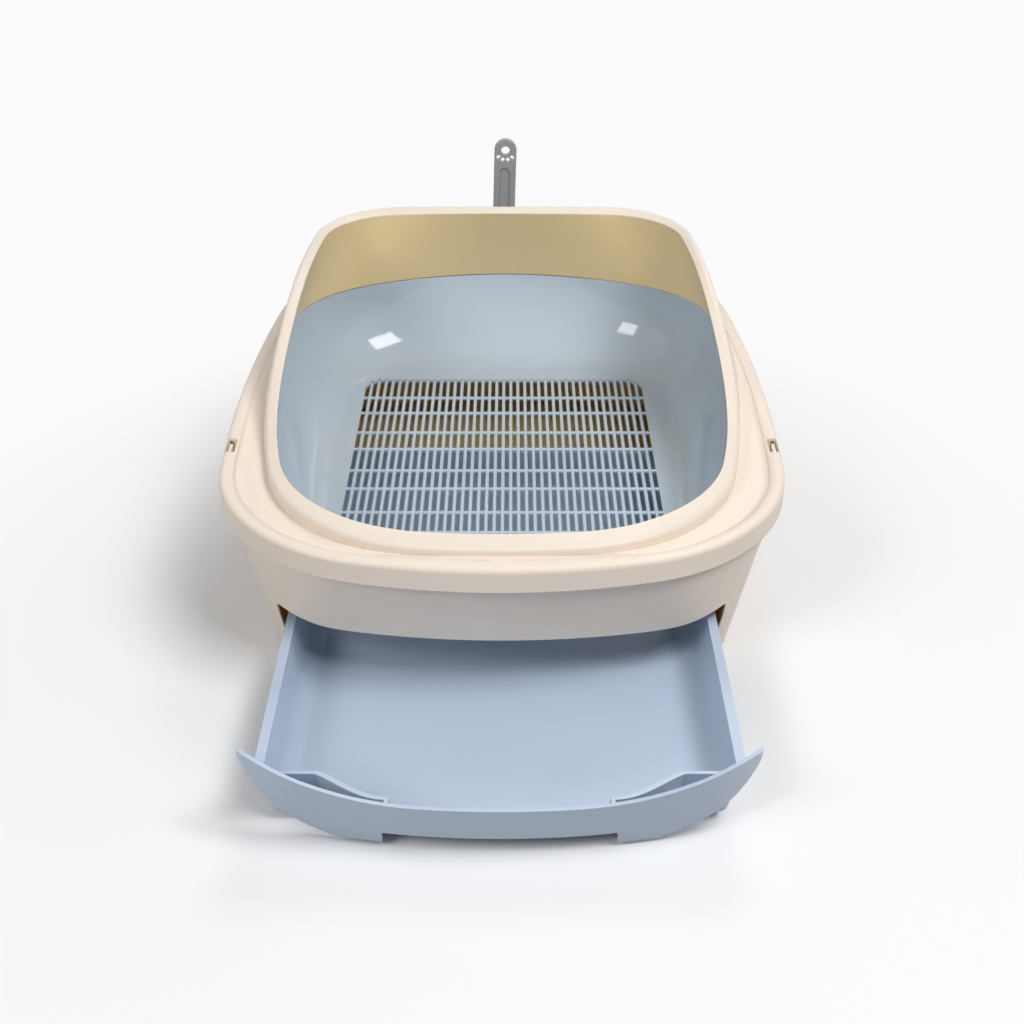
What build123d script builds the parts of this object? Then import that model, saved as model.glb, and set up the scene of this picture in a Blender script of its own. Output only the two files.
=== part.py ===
from build123d import *
import os
from collections import namedtuple
from math import atan2, cos, degrees, hypot, pi, radians, sin, sqrt

# Sifting litter box: a tapered tub with a drawer underneath, a sieve pan hung in the tub,
# a surround with a high back clipped over both, and a scoop in a holder behind it.
# Millimetres. X is to the right, Y to the back and Z up. The origin is on the floor,
# under the middle of the tub. Reaches to the front are given as positive lengths, and the
# corners of an outline are shares of its half width.

overrun = 2.0
running_gap = 0.5
seat_gap = 0.3
half_turn = 180.0

# Skirt of the surround, which is the widest outline
skirt_half = 212.2
skirt_reach = 264.0
skirt_widest_at = -8.0
skirt_front_bow = 422.0
skirt_side_bow = 1670.0
skirt_back_bow = 600.0
skirt_front_corner_share = 0.655
skirt_back_corner_share = 0.424
skirt_wall = 2.8

# Tub: the shoulder is under the skirt, and the foot is on the floor
tub_height = 105.0
shoulder_side_inset = 8.7
shoulder_end_inset = 7.0
foot_side_inset = 30.5
foot_end_inset = 31.0
foot_corner_share = 0.254
shoulder_corner_share = 0.6
tub_widest_at = 16.0
tub_front_bow = 520.0
tub_side_bow = 2600.0
tub_back_bow = 600.0
tub_wall = 2.6
tub_floor_low = 1.5
tub_floor_top = 4.0
foot_ring_width = 8.0
foot_cross_width = 8.0
foot_round = 5.0
ledge_rise = 11.0
ledge_thickness = 2.6
ledge_to_skirt = 2.6
runner_width = 5.0
runner_height = 0.8
runner_inset = 59.8
runner_front_inset = 14.0
runner_back_inset = 30.0
hook_length = 14.0
hook_thickness = 2.0
hook_height = 5.0
hook_root = 1.6

# Drawer tray
pull_out = 164.5
tray_height = 45.0
tray_side_inset = 23.2
tray_rear_inset = 19.0
tray_wall = 2.5
tray_floor = 2.5
tray_draft_inset = 6.0
tray_rear_corner = 30.0
tray_side_corner = 5.0
tray_bottom_round = 6.0
tray_floor_round = 12.0
tray_round_sections = 5
tray_rim_out = 4.0
tray_rim_thickness = 2.5
pocket_depth = 34.2
pocket_turn_inset = 34.8
pocket_end_inset = 79.8
pocket_end_depth = 10.9
pocket_curve = 18.0
ramp_run = 15.0
ramp_rise = 24.0

# Doorway in the tub's front wall, measured from the tray's side and top
doorway_over_tray = 5.0
doorway_tip_rise = 7.5
doorway_waist_drop = 10.0
doorway_flat_inset = 25.8
doorway_tip_outset = 10.7
doorway_waist_outset = 8.7
doorway_low_outset = 0.7
doorway_round = 4.0

# Drawer's bowed front panel, with a pointed wing at each end and a finger notch below
panel_gap = 0.5
panel_thickness = 3.0
panel_bottom = 4.5
panel_flat_inset = 99.8
wing_outset = 10.7
wing_rise = 21.5
wing_end = 4.5
wing_top_lead = 62.0
wing_top_ease = 35.0
wing_bend_in = 1.0
wing_bend_drop = 5.0
wing_foot_inset = 51.8
wing_foot_lead = 24.0
wing_foot_rise = 3.5
notch_inset = 76.8
notch_top = 15.0
notch_depth = 7.0

# Surround above the skirt: a groove, then a rim whose walls lean in
groove_rise = 3.0
ridge_rise = 5.0
ridge_width = 8.5
ridge_round = 6.0
rim_over_groove = 12.0
rim_rise = 67.0
rise_start_inset = 146.0
rise_end_inset = 152.0
surround_wall = 2.5
band_thickness = 2.2

# Opening inside the rim, at the front rim's height and at the back rim's height
opening_side_inset = 25.7
opening_front_inset = 33.5
opening_back_inset = 23.0
opening_widest_at = 100.0
opening_front_bow = 520.0
opening_side_bow = 1110.0
opening_back_bow = 285.0
opening_front_corner_share = 0.676
opening_back_corner_share = 0.547
lean_side = 25.5
lean_front = 24.0
lean_back = 27.0
high_widest_at = 45.0
high_back_bow = 2000.0
high_front_corner_share = 0.634
high_back_corner_share = 0.41
band_front = 17.0
band_side = 9.5
band_back = 14.0
band_corner = 12.0

# Snap windows in the ridge
window_inset = 172.0
window_length = 21.0
window_width = 7.2
window_edge = 1.6

# Sieve pan: a flange, a lip turned down on to the tub's ledge, and a bowl
pan_under_rim = 2.5
pan_over_tray = 13.0
pan_wall = 2.5
pan_edge_set = 1.0
pan_flange_gap = 1.0
floor_side_inset = 45.5
floor_front_inset = 62.5
floor_back_inset = 64.0
floor_widest_at = 20.0
floor_front_bow = 900.0
floor_side_bow = 1500.0
floor_back_bow = 900.0
floor_corner_share = 0.44
bowl_draft_share = 0.25
bowl_sections = 6

# Grille in the pan's floor: long and short rows of slots by turns
grille_side_room = 13.5
grille_front_room = 22.7
grille_back_room = 20.7
grille_margin = 3.5
grille_corner = 18.0
slot_pitch = 6.39
slot_width = 3.5
cross_bar = 3.4
long_rows = 5
long_to_short = 1.263
least_slot_area = 20.0

# Scoop
scoop_length = 224.5
scoop_lean = 1.6
scoop_at = -3.0
blade_width = 100.0
blade_length = 110.0
blade_depth = 15.0
blade_wall = 2.2
blade_draft = 6.0
blade_corner = 22.0
blade_lip = 4.5
blade_lip_run = 40.0
blade_slot_count = 7
blade_slot_width = 5.0
blade_slot_pitch = 11.0
blade_slot_margin = 15.0
handle_width = 20.7
handle_root_width = 34.0
handle_root_length = 26.0
handle_thickness = 5.0
handle_round = 1.2
handle_groove_width = 10.0
handle_groove_depth = 1.4
handle_groove_top = 27.0
handle_groove_low = 34.0
hang_hole = 8.2
hang_hole_inset = 10.6
toe_hole = 3.3
toe_ring = 8.6
toe_angles = (225.0, 255.0, 285.0, 315.0)

# Scoop holder hooked on the back of the skirt
holder_gap = 0.6
holder_side_room = 6.0
holder_depth_room = 6.0
holder_wall = 2.2
holder_drop = 83.7
holder_front_drop = 13.0
holder_corner = 6.0
holder_round = 4.0
holder_plate_rise = 9.0
holder_plate_width = 96.0
holder_plate_corner = 8.0
tab_spacing = 70.0
tab_width = 14.0
tab_rise = 4.0
tab_thickness = 2.6
tab_nib_drop = 3.0
tab_nib = 2.2
tab_room = 0.4

# Heights that follow from the sizes above
skirt_low = tub_height
ledge_top = tub_height + ledge_rise
groove_top = ledge_top + groove_rise
groove_under = groove_top - surround_wall
ridge_top = groove_top + ridge_rise
rim_low = groove_top + rim_over_groove
rim_high = rim_low + rim_rise
pan_top = rim_low - pan_under_rim
pan_floor_top = tray_height + pan_over_tray
tray_bottom = tub_floor_top + runner_height + seat_gap
tray_floor_top = tray_bottom + tray_floor
tab_low = tub_height + tab_rise
holder_bottom = tub_height - holder_drop
holder_inside = skirt_reach + holder_gap + holder_wall

# Outlines in plan
Plan = namedtuple("Plan", "half widest front back front_bow side_bow back_bow front_corner back_corner")


def grown(plan, by):
    """The same outline, moved outwards all round."""
    return Plan(plan.half + by, plan.widest, plan.front + by, plan.back + by, plan.front_bow + by,
                plan.side_bow + by, plan.back_bow + by, plan.front_corner + by, plan.back_corner + by)


def between(first, second, share):
    """An outline part of the way from one to another."""
    return Plan(*[a + (b - a) * share for a, b in zip(first, second)])


def corner_centre(bow_centre, bow_reach, side_centre, side_reach, end):
    """Centre of the corner arc that touches an end bow and a side bow."""
    run = side_centre[0] - bow_centre[0]
    rise = side_centre[1] - bow_centre[1]
    apart = hypot(run, rise)
    along = (apart ** 2 + bow_reach ** 2 - side_reach ** 2) / (2 * apart)
    across = sqrt(bow_reach ** 2 - along ** 2)
    x = bow_centre[0] + (along * run + end * across * rise) / apart
    y = bow_centre[1] + (along * rise - end * across * run) / apart
    return (x, y)


def bearing(centre, point):
    return degrees(atan2(point[1] - centre[1], point[0] - centre[0]))


def arc(centre, radius, start, end, height):
    """Arc given by its centre, radius and two bearings in degrees."""
    def at(angle):
        return (centre[0] + radius * cos(radians(angle)), centre[1] + radius * sin(radians(angle)), height)
    return ThreePointArc(at(start), at((start + end) / 2), at(end))


def outline(plan, height):
    """Closed wire of eight arcs: two end bows, two side bows and four corners."""
    front_centre = (0, plan.front_bow - plan.front)
    back_centre = (0, plan.back - plan.back_bow)
    side_centre = (plan.half - plan.side_bow, plan.widest)
    front_corner = corner_centre(front_centre, plan.front_bow - plan.front_corner,
                                 side_centre, plan.side_bow - plan.front_corner, -1)
    back_corner = corner_centre(back_centre, plan.back_bow - plan.back_corner,
                                side_centre, plan.side_bow - plan.back_corner, 1)
    front_turn = bearing(front_centre, front_corner)
    side_front = bearing(side_centre, front_corner)
    side_back = bearing(side_centre, back_corner)
    back_turn = bearing(back_centre, back_corner)
    right = [
        (front_corner, plan.front_corner, front_turn, side_front),
        (side_centre, plan.side_bow, side_front, side_back),
        (back_corner, plan.back_corner, side_back, back_turn),
    ]
    left = [((-c[0], c[1]), r, half_turn - end, half_turn - start) for c, r, start, end in reversed(right)]
    back = [(back_centre, plan.back_bow, back_turn, half_turn - back_turn)]
    front = [(front_centre, plan.front_bow, -half_turn - front_turn, front_turn)]
    return Wire([arc(*place, height) for place in front + right + back + left])


def half_at(plan, y):
    """Half width of an outline on its side bow."""
    return plan.half - plan.side_bow + sqrt(plan.side_bow ** 2 - (y - plan.widest) ** 2)


def rounded_plan(half, widest, front, back, bows, corner_shares):
    """Outline whose corners are shares of its half width."""
    front_share, back_share = corner_shares
    return Plan(half, widest, front, back, *bows, half * front_share, half * back_share)


skirt_plan = rounded_plan(skirt_half, skirt_widest_at, skirt_reach, skirt_reach,
                          (skirt_front_bow, skirt_side_bow, skirt_back_bow),
                          (skirt_front_corner_share, skirt_back_corner_share))
tub_bows = (tub_front_bow, tub_side_bow, tub_back_bow)
shoulder_half = skirt_half - shoulder_side_inset
shoulder_reach = skirt_reach - shoulder_end_inset
shoulder_plan = rounded_plan(shoulder_half, tub_widest_at, shoulder_reach, shoulder_reach, tub_bows,
                             (shoulder_corner_share, shoulder_corner_share))
foot_half = shoulder_half - foot_side_inset
foot_reach = shoulder_reach - foot_end_inset
foot_plan = rounded_plan(foot_half, tub_widest_at, foot_reach, foot_reach, tub_bows,
                         (foot_corner_share, foot_corner_share))
opening_plan = rounded_plan(skirt_half - opening_side_inset, opening_widest_at,
                            skirt_reach - opening_front_inset, skirt_reach - opening_back_inset,
                            (opening_front_bow, opening_side_bow, opening_back_bow),
                            (opening_front_corner_share, opening_back_corner_share))
opening_high = rounded_plan(opening_plan.half - lean_side, high_widest_at,
                            opening_plan.front - lean_front, opening_plan.back - lean_back,
                            (opening_front_bow, opening_side_bow, high_back_bow),
                            (high_front_corner_share, high_back_corner_share))
floor_plan = rounded_plan(opening_plan.half - floor_side_inset, floor_widest_at,
                          opening_plan.front - floor_front_inset, opening_plan.back - floor_back_inset,
                          (floor_front_bow, floor_side_bow, floor_back_bow),
                          (floor_corner_share, floor_corner_share))


def banded(plan):
    """Outer edge of the rim band round an opening outline."""
    return Plan(plan.half + band_side, plan.widest, plan.front + band_front, plan.back + band_back,
                plan.front_bow + band_front, plan.side_bow + band_side, plan.back_bow + band_back,
                plan.front_corner + band_corner, plan.back_corner + band_corner)


band_plan = banded(opening_plan)
band_high = banded(opening_high)
flange_plan = grown(band_plan, -surround_wall - pan_flange_gap)
pan_plan = grown(opening_plan, pan_edge_set)


def tub_plan(height, by):
    """Outline of the tub's leaning wall at a height, moved out or in."""
    return grown(between(foot_plan, shoulder_plan, height / tub_height), by)


# Places across the drawer that follow from the tub's foot
tray_half = foot_half - tray_side_inset
tray_rear = foot_reach - tray_rear_inset
panel_reach = tub_plan(tray_height, panel_gap + panel_thickness).front
wing_half = tray_half + wing_outset
notch_half = tray_half - notch_inset


# Solids on those outlines
def sheet(plan, height):
    return Face(outline(plan, height))


def column(plan, low, high):
    """Upright prism on an outline."""
    return extrude(sheet(plan, low), high - low)


def ring(plan, width, low, high):
    """Upright wall inside an outline."""
    return column(plan, low, high) - column(grown(plan, -width), low - overrun, high + overrun)


def taper(low_plan, low, high_plan, high):
    """Leaning solid between two outlines."""
    return loft([sheet(low_plan, low), sheet(high_plan, high)], ruled=True)


def tub_envelope(by):
    """Solid inside the tub's leaning outer face, moved out or in."""
    return taper(tub_plan(0, by), 0, tub_plan(tub_height, by), tub_height)


def block(x_low, x_high, y_low, y_high, z_low, z_high):
    """Box by its limits."""
    size = (x_high - x_low, y_high - y_low, z_high - z_low)
    middle = ((x_low + x_high) / 2, (y_low + y_high) / 2, (z_low + z_high) / 2)
    return Pos(*middle) * Box(*size)


def mirrored(edges):
    """Edges drawn on the right, and the same edges on the left."""
    return edges + [edge.mirror(Plane.YZ) for edge in edges]


def cut_from_front(shape):
    """A front view carried back through the front half of the tub."""
    return Pos(0, -skirt_reach / 2, 0) * extrude(Plane.XZ * shape, skirt_reach, dir=(0, -1, 0))


# Tub
def make_doorway():
    """Cut for the drawer: its top corners flare up and out, as the drawer's wings do."""
    top = tray_height + doorway_over_tray
    right = [
        (tray_half + doorway_low_outset, tub_floor_top),
        (tray_half + doorway_waist_outset, top - doorway_waist_drop),
        (tray_half + doorway_tip_outset, top + doorway_tip_rise),
        (tray_half - doorway_flat_inset, top),
    ]
    left = [(-x, z) for x, z in reversed(right)]
    shape = make_face(Polyline(*right, *left, close=True))
    shape = fillet(shape.vertices().group_by(Axis.Y)[-1], doorway_round)
    return cut_from_front(shape)


def window_middle():
    return window_inset - skirt_reach


def make_hook():
    """Snap tongue on the ledge's edge, which shows in the surround's right window."""
    outside = half_at(skirt_plan, window_middle()) - skirt_wall - running_gap
    inside = outside - hook_thickness
    front = window_middle() - hook_length / 2
    back = front + hook_length
    low = ledge_top - ledge_thickness
    tongue = block(inside, outside, front, back, low, ledge_top + hook_height)
    return tongue + block(inside - ledge_to_skirt - hook_root, outside, front, back, low, ledge_top)


def make_runner():
    """Low rib under the right half of the drawer."""
    x = tray_half - runner_inset
    return block(x - runner_width / 2, x + runner_width / 2, runner_front_inset - foot_reach,
                 foot_reach - runner_back_inset, tub_floor_low, tub_floor_top + runner_height)


def make_tub():
    outer = tub_envelope(0)
    outer = fillet(outer.faces().sort_by(Axis.Z)[0].edges(), foot_round)
    outer += column(shoulder_plan, tub_height, ledge_top)
    inner = taper(tub_plan(tub_floor_top, -tub_wall), tub_floor_top,
                  tub_plan(tub_height, -tub_wall), tub_height)
    inner += column(grown(shoulder_plan, -tub_wall), tub_height, ledge_top + overrun)
    ledge = ring(grown(skirt_plan, -skirt_wall - ledge_to_skirt), skirt_half / 2,
                 ledge_top - ledge_thickness, ledge_top)
    body = outer - inner + ledge
    body -= column(grown(flange_plan, -pan_wall - pan_flange_gap), tub_height, ledge_top + overrun)
    recess = column(grown(foot_plan, -foot_round - foot_ring_width), -overrun, tub_floor_low)
    cross = foot_cross_width / 2
    recess -= block(-foot_half, foot_half, -cross, cross, 0, tub_floor_low)
    recess -= block(-cross, cross, -foot_reach, foot_reach, 0, tub_floor_low)
    body -= recess
    body -= make_doorway()
    for piece in (make_hook(), make_runner()):
        body += piece
        body += piece.mirror(Plane.YZ)
    return body


# Drawer
def tray_outline(inset, height):
    """Plan of the tray: straight sides, round rear corners, and set-back front corners."""
    half = tray_half - inset
    rear = tray_rear - inset
    pocket = pocket_depth + inset - panel_reach
    pocket_end = pocket_end_depth + inset - panel_reach
    far = -panel_reach - pocket_curve
    end_half = tray_half - pocket_end_inset - inset
    turn_half = tray_half - pocket_turn_inset - inset
    rear_round = tray_rear_corner - inset
    bend = rear_round * (1 - sqrt(1 / 2))
    nip = tray_side_corner * (1 - sqrt(1 / 2))
    right = [
        Line((end_half, far), (end_half, pocket_end)),
        Bezier((end_half, pocket_end), (end_half + pocket_curve, pocket_end),
               (turn_half - pocket_curve / 2, pocket - pocket_curve / 6), (turn_half, pocket)),
        Line((turn_half, pocket), (half - tray_side_corner, pocket)),
        ThreePointArc((half - tray_side_corner, pocket), (half - nip, pocket + nip),
                      (half, pocket + tray_side_corner)),
        Line((half, pocket + tray_side_corner), (half, rear - rear_round)),
        ThreePointArc((half, rear - rear_round), (half - bend, rear - bend), (half - rear_round, rear)),
    ]
    ends = [Line((-end_half, far), (end_half, far)), Line((half - rear_round, rear), (rear_round - half, rear))]
    return Pos(0, 0, height) * Face(Wire(mirrored(right) + ends))


def tray_solid(skin, low, rounding, top):
    """Drafted outside or inside of the tray, rounded at its foot."""
    slope = tray_draft_inset / (tray_height - tray_bottom)
    faces = []
    for step in range(tray_round_sections):
        angle = (pi / 2) * step / (tray_round_sections - 1)
        height = low + rounding * (1 - cos(angle))
        faces.append(tray_outline(skin + slope * (tray_height - height) + rounding * (1 - sin(angle)), height))
    faces.append(tray_outline(skin + slope * (tray_height - top), top))
    return loft(faces, ruled=True)


def ramped_front():
    """Room behind the panel: a ramp up from the floor, then the panel's inner face."""
    ramp_top = tray_floor_top + ramp_rise
    top = tray_height + overrun
    low_part = taper(tub_plan(tray_floor_top, panel_gap - ramp_run), tray_floor_top,
                     tub_plan(ramp_top, panel_gap), ramp_top)
    return low_part + taper(tub_plan(ramp_top, panel_gap), ramp_top, tub_plan(top, panel_gap), top)


def behind_panel(depth, half, top):
    """Block that follows the panel's bow, from its outer face backwards."""
    outside = panel_gap + panel_thickness
    bowed = tub_envelope(outside + overrun) - tub_envelope(outside - depth)
    return bowed & block(-half, half, -skirt_reach, 0, 0, top)


def panel_front():
    """Front view of the panel: wings that sweep up to a point, and the finger notch."""
    flat_half = tray_half - panel_flat_inset
    tip_top = tray_height + wing_rise
    tip_low = tip_top - wing_end
    foot = tray_half - wing_foot_inset
    right = [
        Line((0, tray_height), (flat_half, tray_height)),
        Bezier((flat_half, tray_height), (flat_half + wing_top_lead, tray_height),
               (wing_half - wing_top_ease, tip_top), (wing_half, tip_top)),
        Line((wing_half, tip_top), (wing_half, tip_low)),
        Bezier((wing_half, tip_low), (wing_half - wing_bend_in, tray_height - wing_bend_drop),
               (foot + wing_foot_lead, panel_bottom + wing_foot_rise), (foot, panel_bottom)),
        Line((foot, panel_bottom), (notch_half, panel_bottom)),
        Line((notch_half, panel_bottom), (notch_half, notch_top)),
        Line((notch_half, notch_top), (0, notch_top)),
    ]
    return Face(Wire(mirrored(right)))


def make_drawer():
    outside = tub_envelope(panel_gap + panel_thickness)
    panel = (outside - tub_envelope(panel_gap)) & cut_from_front(panel_front())
    tray = tray_solid(0, tray_bottom, tray_bottom_round, tray_height) & outside
    hollow = tray_solid(tray_wall, tray_floor_top, tray_floor_round, tray_height + overrun)
    hollow &= ramped_front()
    hollow -= behind_panel(notch_depth + tray_wall, notch_half + tray_wall, notch_top + tray_wall)
    rim = tray_outline(-tray_rim_out, tray_height - tray_rim_thickness)
    rim = extrude(rim, tray_rim_thickness, dir=(0, 0, 1))
    rim_front = pocket_depth + tray_wall - panel_reach
    rim &= block(-wing_half, wing_half, rim_front, tray_rear + tray_rim_out + overrun, 0, tray_height)
    body = tray + panel + rim - hollow
    body -= behind_panel(notch_depth, notch_half, notch_top)
    return Pos(0, -pull_out, 0) * body


# Surround
def rim_taper(low_plan, high_plan):
    """Leaning solid of the rim's wall, carried a little past the back rim."""
    top = rim_high + overrun
    return taper(low_plan, rim_low, between(low_plan, high_plan, (top - rim_low) / rim_rise), top)


def under_rim(drop):
    """Everything below the rim's side view, which climbs from the front to the back."""
    start = rise_start_inset - skirt_reach
    end = skirt_reach - rise_end_inset
    ease = (end - start) / 2
    low = rim_low - drop
    high = rim_high - drop
    far = 2 * skirt_reach
    edges = [
        Line((-far, 0), (-far, low)),
        Line((-far, low), (start, low)),
        Bezier((start, low), (start + ease, low), (end - ease, high), (end, high)),
        Line((end, high), (far, high)),
        Line((far, high), (far, 0)),
        Line((far, 0), (-far, 0)),
    ]
    return extrude(Plane.YZ * Face(Wire(edges)), 2 * skirt_half, both=True)


def make_window():
    """Cut through the ridge on the right, over the tub's snap tongue."""
    outside = half_at(skirt_plan, window_middle()) - window_edge
    front = window_middle() - window_length / 2
    return block(outside - window_width, outside, front, front + window_length,
                 groove_under - overrun, ridge_top + overrun)


def make_tab_slot():
    """Cut in the back of the skirt for the holder's right hook."""
    x = tab_spacing / 2
    half = tab_width / 2 + tab_room
    return block(x - half, x + half, skirt_reach - ridge_width, skirt_reach + overrun,
                 tab_low - tab_room, tab_low + tab_thickness + tab_nib_drop + tab_room)


def make_surround():
    body = column(skirt_plan, skirt_low, ridge_top)
    body = fillet(body.faces().sort_by(Axis.Z)[-1].edges(), ridge_round)
    body -= column(grown(skirt_plan, -ridge_width), groove_top, ridge_top + overrun)
    body += column(band_plan, skirt_low, rim_low)
    body += rim_taper(band_plan, band_high) & under_rim(0)
    hollow = column(grown(skirt_plan, -skirt_wall), skirt_low - overrun, groove_under)
    hollow += ring(grown(skirt_plan, -skirt_wall), ridge_width - skirt_wall - surround_wall,
                   skirt_low, ridge_top - surround_wall)
    inside = grown(band_plan, -surround_wall)
    inside_high = grown(band_high, -surround_wall)
    rim_hollow = column(inside, skirt_low, rim_low) + rim_taper(inside, inside_high)
    rim_hollow &= under_rim(band_thickness)
    wall = grown(opening_plan, surround_wall)
    wall_high = grown(opening_high, surround_wall)
    rim_hollow -= column(wall, rim_low - band_thickness, rim_low)
    rim_hollow -= rim_taper(wall, wall_high)
    mouth = column(opening_plan, skirt_low - overrun, rim_low) + rim_taper(opening_plan, opening_high)
    body = body - hollow - rim_hollow - mouth
    for cut in (make_window(), make_tab_slot()):
        body -= cut
        body -= cut.mirror(Plane.YZ)
    return body


# Sieve pan and its grille
def bowl(by, drop):
    """Bowl that starts down a drafted wall and rounds into the flat floor."""
    faces = []
    for step in range(bowl_sections):
        angle = (pi / 2) * step / (bowl_sections - 1)
        inset_share = bowl_draft_share * sin(angle) + (1 - bowl_draft_share) * (1 - cos(angle))
        height = pan_top - (pan_top - pan_floor_top + drop) * sin(angle)
        faces.append(sheet(grown(between(pan_plan, floor_plan, inset_share), by), height))
    return loft(faces, ruled=True)


grille_front = grille_front_room - floor_plan.front
grille_back = floor_plan.back - grille_back_room
grille_length = grille_back - grille_front
short_rows = long_rows - 1
bar_total = (long_rows + short_rows - 1) * cross_bar
short_slot = (grille_length - bar_total) / (short_rows + long_rows * long_to_short)
long_slot = short_slot * long_to_short
slot_count = int((2 * (floor_plan.half - grille_side_room) - slot_width) / slot_pitch) + 1
grille_width = (slot_count - 1) * slot_pitch + slot_width


def grille_panel(outset):
    """Plan of the slotted panel, grown round its slots."""
    panel = RectangleRounded(grille_width + 2 * outset, grille_length + 2 * outset, grille_corner + outset)
    return Pos(0, grille_back - grille_length / 2) * panel


def make_pan():
    body = bowl(pan_wall, pan_wall)
    body += column(flange_plan, pan_top - pan_wall, pan_top)
    body += ring(flange_plan, pan_wall, ledge_top + seat_gap, pan_top)
    body -= bowl(0, 0)
    return body - extrude(grille_panel(grille_margin), pan_top)


def make_grille():
    """One plate with a hole for every slot; the slots at the corners follow their rounding."""
    clip = grille_panel(0)
    first = (slot_width - grille_width) / 2
    edge = grille_back
    holes = []
    for row in range(long_rows + short_rows):
        length = short_slot if row % 2 else long_slot
        for number in range(slot_count):
            place = Pos(first + number * slot_pitch, edge - length / 2)
            slot = (place * Rectangle(slot_width, length)) & clip
            holes += [face.outer_wire() for face in slot.faces() if face.area > least_slot_area]
        edge -= length + cross_bar
    plate = Face(grille_panel(grille_margin).face().outer_wire(), holes)
    return Pos(0, 0, pan_floor_top - pan_wall) * extrude(plate, pan_wall)


# Scoop
def blade_dish(inset, low, high):
    """Drafted dish lying on its floor: low is the floor and high the open side, both along Y."""
    width = blade_width - 2 * inset
    length = blade_length - inset
    faces = []
    for place, shrink in ((high, 0), (low, blade_draft)):
        face = RectangleRounded(width - 2 * shrink, length - shrink, blade_corner - inset - shrink / 2)
        faces.append(Pos(0, place, length / 2) * Rot(-90, 0, 0) * face)
    return loft(faces, ruled=True)


def make_blade():
    """Slotted dish of the scoop, with its tip wall cut down to a lip."""
    body = blade_dish(0, 0, blade_depth)
    body -= Pos(0, 0, blade_wall) * blade_dish(blade_wall, blade_wall, blade_depth + overrun)
    far = blade_depth + overrun
    lip = make_face(Polyline((blade_lip, -overrun), (far, -overrun), (far, blade_lip_run), close=True))
    body -= extrude(Plane.YZ * lip, blade_width, both=True)
    slot = Rot(0, 0, 90) * SlotOverall(blade_length - 2 * blade_slot_margin, blade_slot_width)
    for number in range(blade_slot_count):
        x = (number - (blade_slot_count - 1) / 2) * blade_slot_pitch
        body -= extrude(Plane.XZ * (Pos(x, blade_length / 2) * slot), 2 * blade_wall, both=True)
    return body


def handle_face():
    """Front view of the handle: a flared root and a round top."""
    root = blade_length - blade_wall
    neck = root + handle_root_length
    third = handle_root_length / 3
    half = handle_width / 2
    root_half = handle_root_width / 2
    shoulder = scoop_length - half
    right = [
        Bezier((root_half, root), (root_half - half / 2, root + third), (half, neck - third), (half, neck)),
        Line((half, neck), (half, shoulder)),
    ]
    ends = [
        Line((-root_half, root), (root_half, root)),
        ThreePointArc((half, shoulder), (0, scoop_length), (-half, shoulder)),
    ]
    return Face(Wire(mirrored(right) + ends))


def make_handle():
    """Flat handle with a shallow channel, a hanging hole and four small holes under it."""
    slab = extrude(Pos(0, blade_depth, 0) * (Plane.XZ * handle_face()), handle_thickness, dir=(0, -1, 0))
    front_edges = slab.faces().sort_by(Axis.Y)[0].edges().sort_by(Axis.Z)[1:]
    slab = fillet(front_edges, handle_round)
    low = blade_length + handle_groove_low
    high = scoop_length - handle_groove_top
    groove = Pos(0, (low + high) / 2) * Rot(0, 0, 90) * SlotOverall(high - low, handle_groove_width)
    groove_floor = blade_depth - handle_thickness + handle_groove_depth
    slab -= extrude(Pos(0, groove_floor, 0) * (Plane.XZ * groove), handle_thickness, dir=(0, -1, 0))
    hang_at = scoop_length - hang_hole_inset
    holes = [(0, hang_at, hang_hole / 2)]
    for angle in toe_angles:
        toe_x = toe_ring * cos(radians(angle))
        toe_z = toe_ring * sin(radians(angle))
        holes.append((toe_x, hang_at + toe_z, toe_hole / 2))
    for x, z, radius in holes:
        slab -= Pos(x, blade_depth, z) * Rot(90, 0, 0) * Cylinder(radius, 3 * handle_thickness)
    return slab


def make_scoop():
    """The scoop stands on its lip in the holder, against the back plate, and leans a little."""
    middle = blade_length / 2
    body = make_blade() + make_handle()
    leaning = Pos(0, 0, middle) * Rot(0, scoop_lean, 0) * Pos(0, 0, -middle) * body
    lip_rise = blade_draft / 2 * (1 - blade_lip / blade_depth)
    lean_drop = (blade_width / 2 - blade_corner) * sin(radians(scoop_lean))
    base = holder_bottom + holder_wall + seat_gap + lean_drop - lip_rise
    return Pos(scoop_at, holder_inside + seat_gap, base) * leaning


# Scoop holder
def make_hook_tab():
    """Right-hand hook that reaches through the skirt and turns down behind it."""
    front = skirt_reach + holder_gap
    hook_face = skirt_reach - skirt_wall - holder_wall
    low = (tab_spacing - tab_width) / 2
    high = low + tab_width
    tab = block(low, high, hook_face - tab_nib, front + holder_wall / 2, tab_low, tab_low + tab_thickness)
    return tab + block(low, high, hook_face - tab_nib, hook_face,
                       tab_low - tab_nib_drop, tab_low + tab_thickness)


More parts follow.
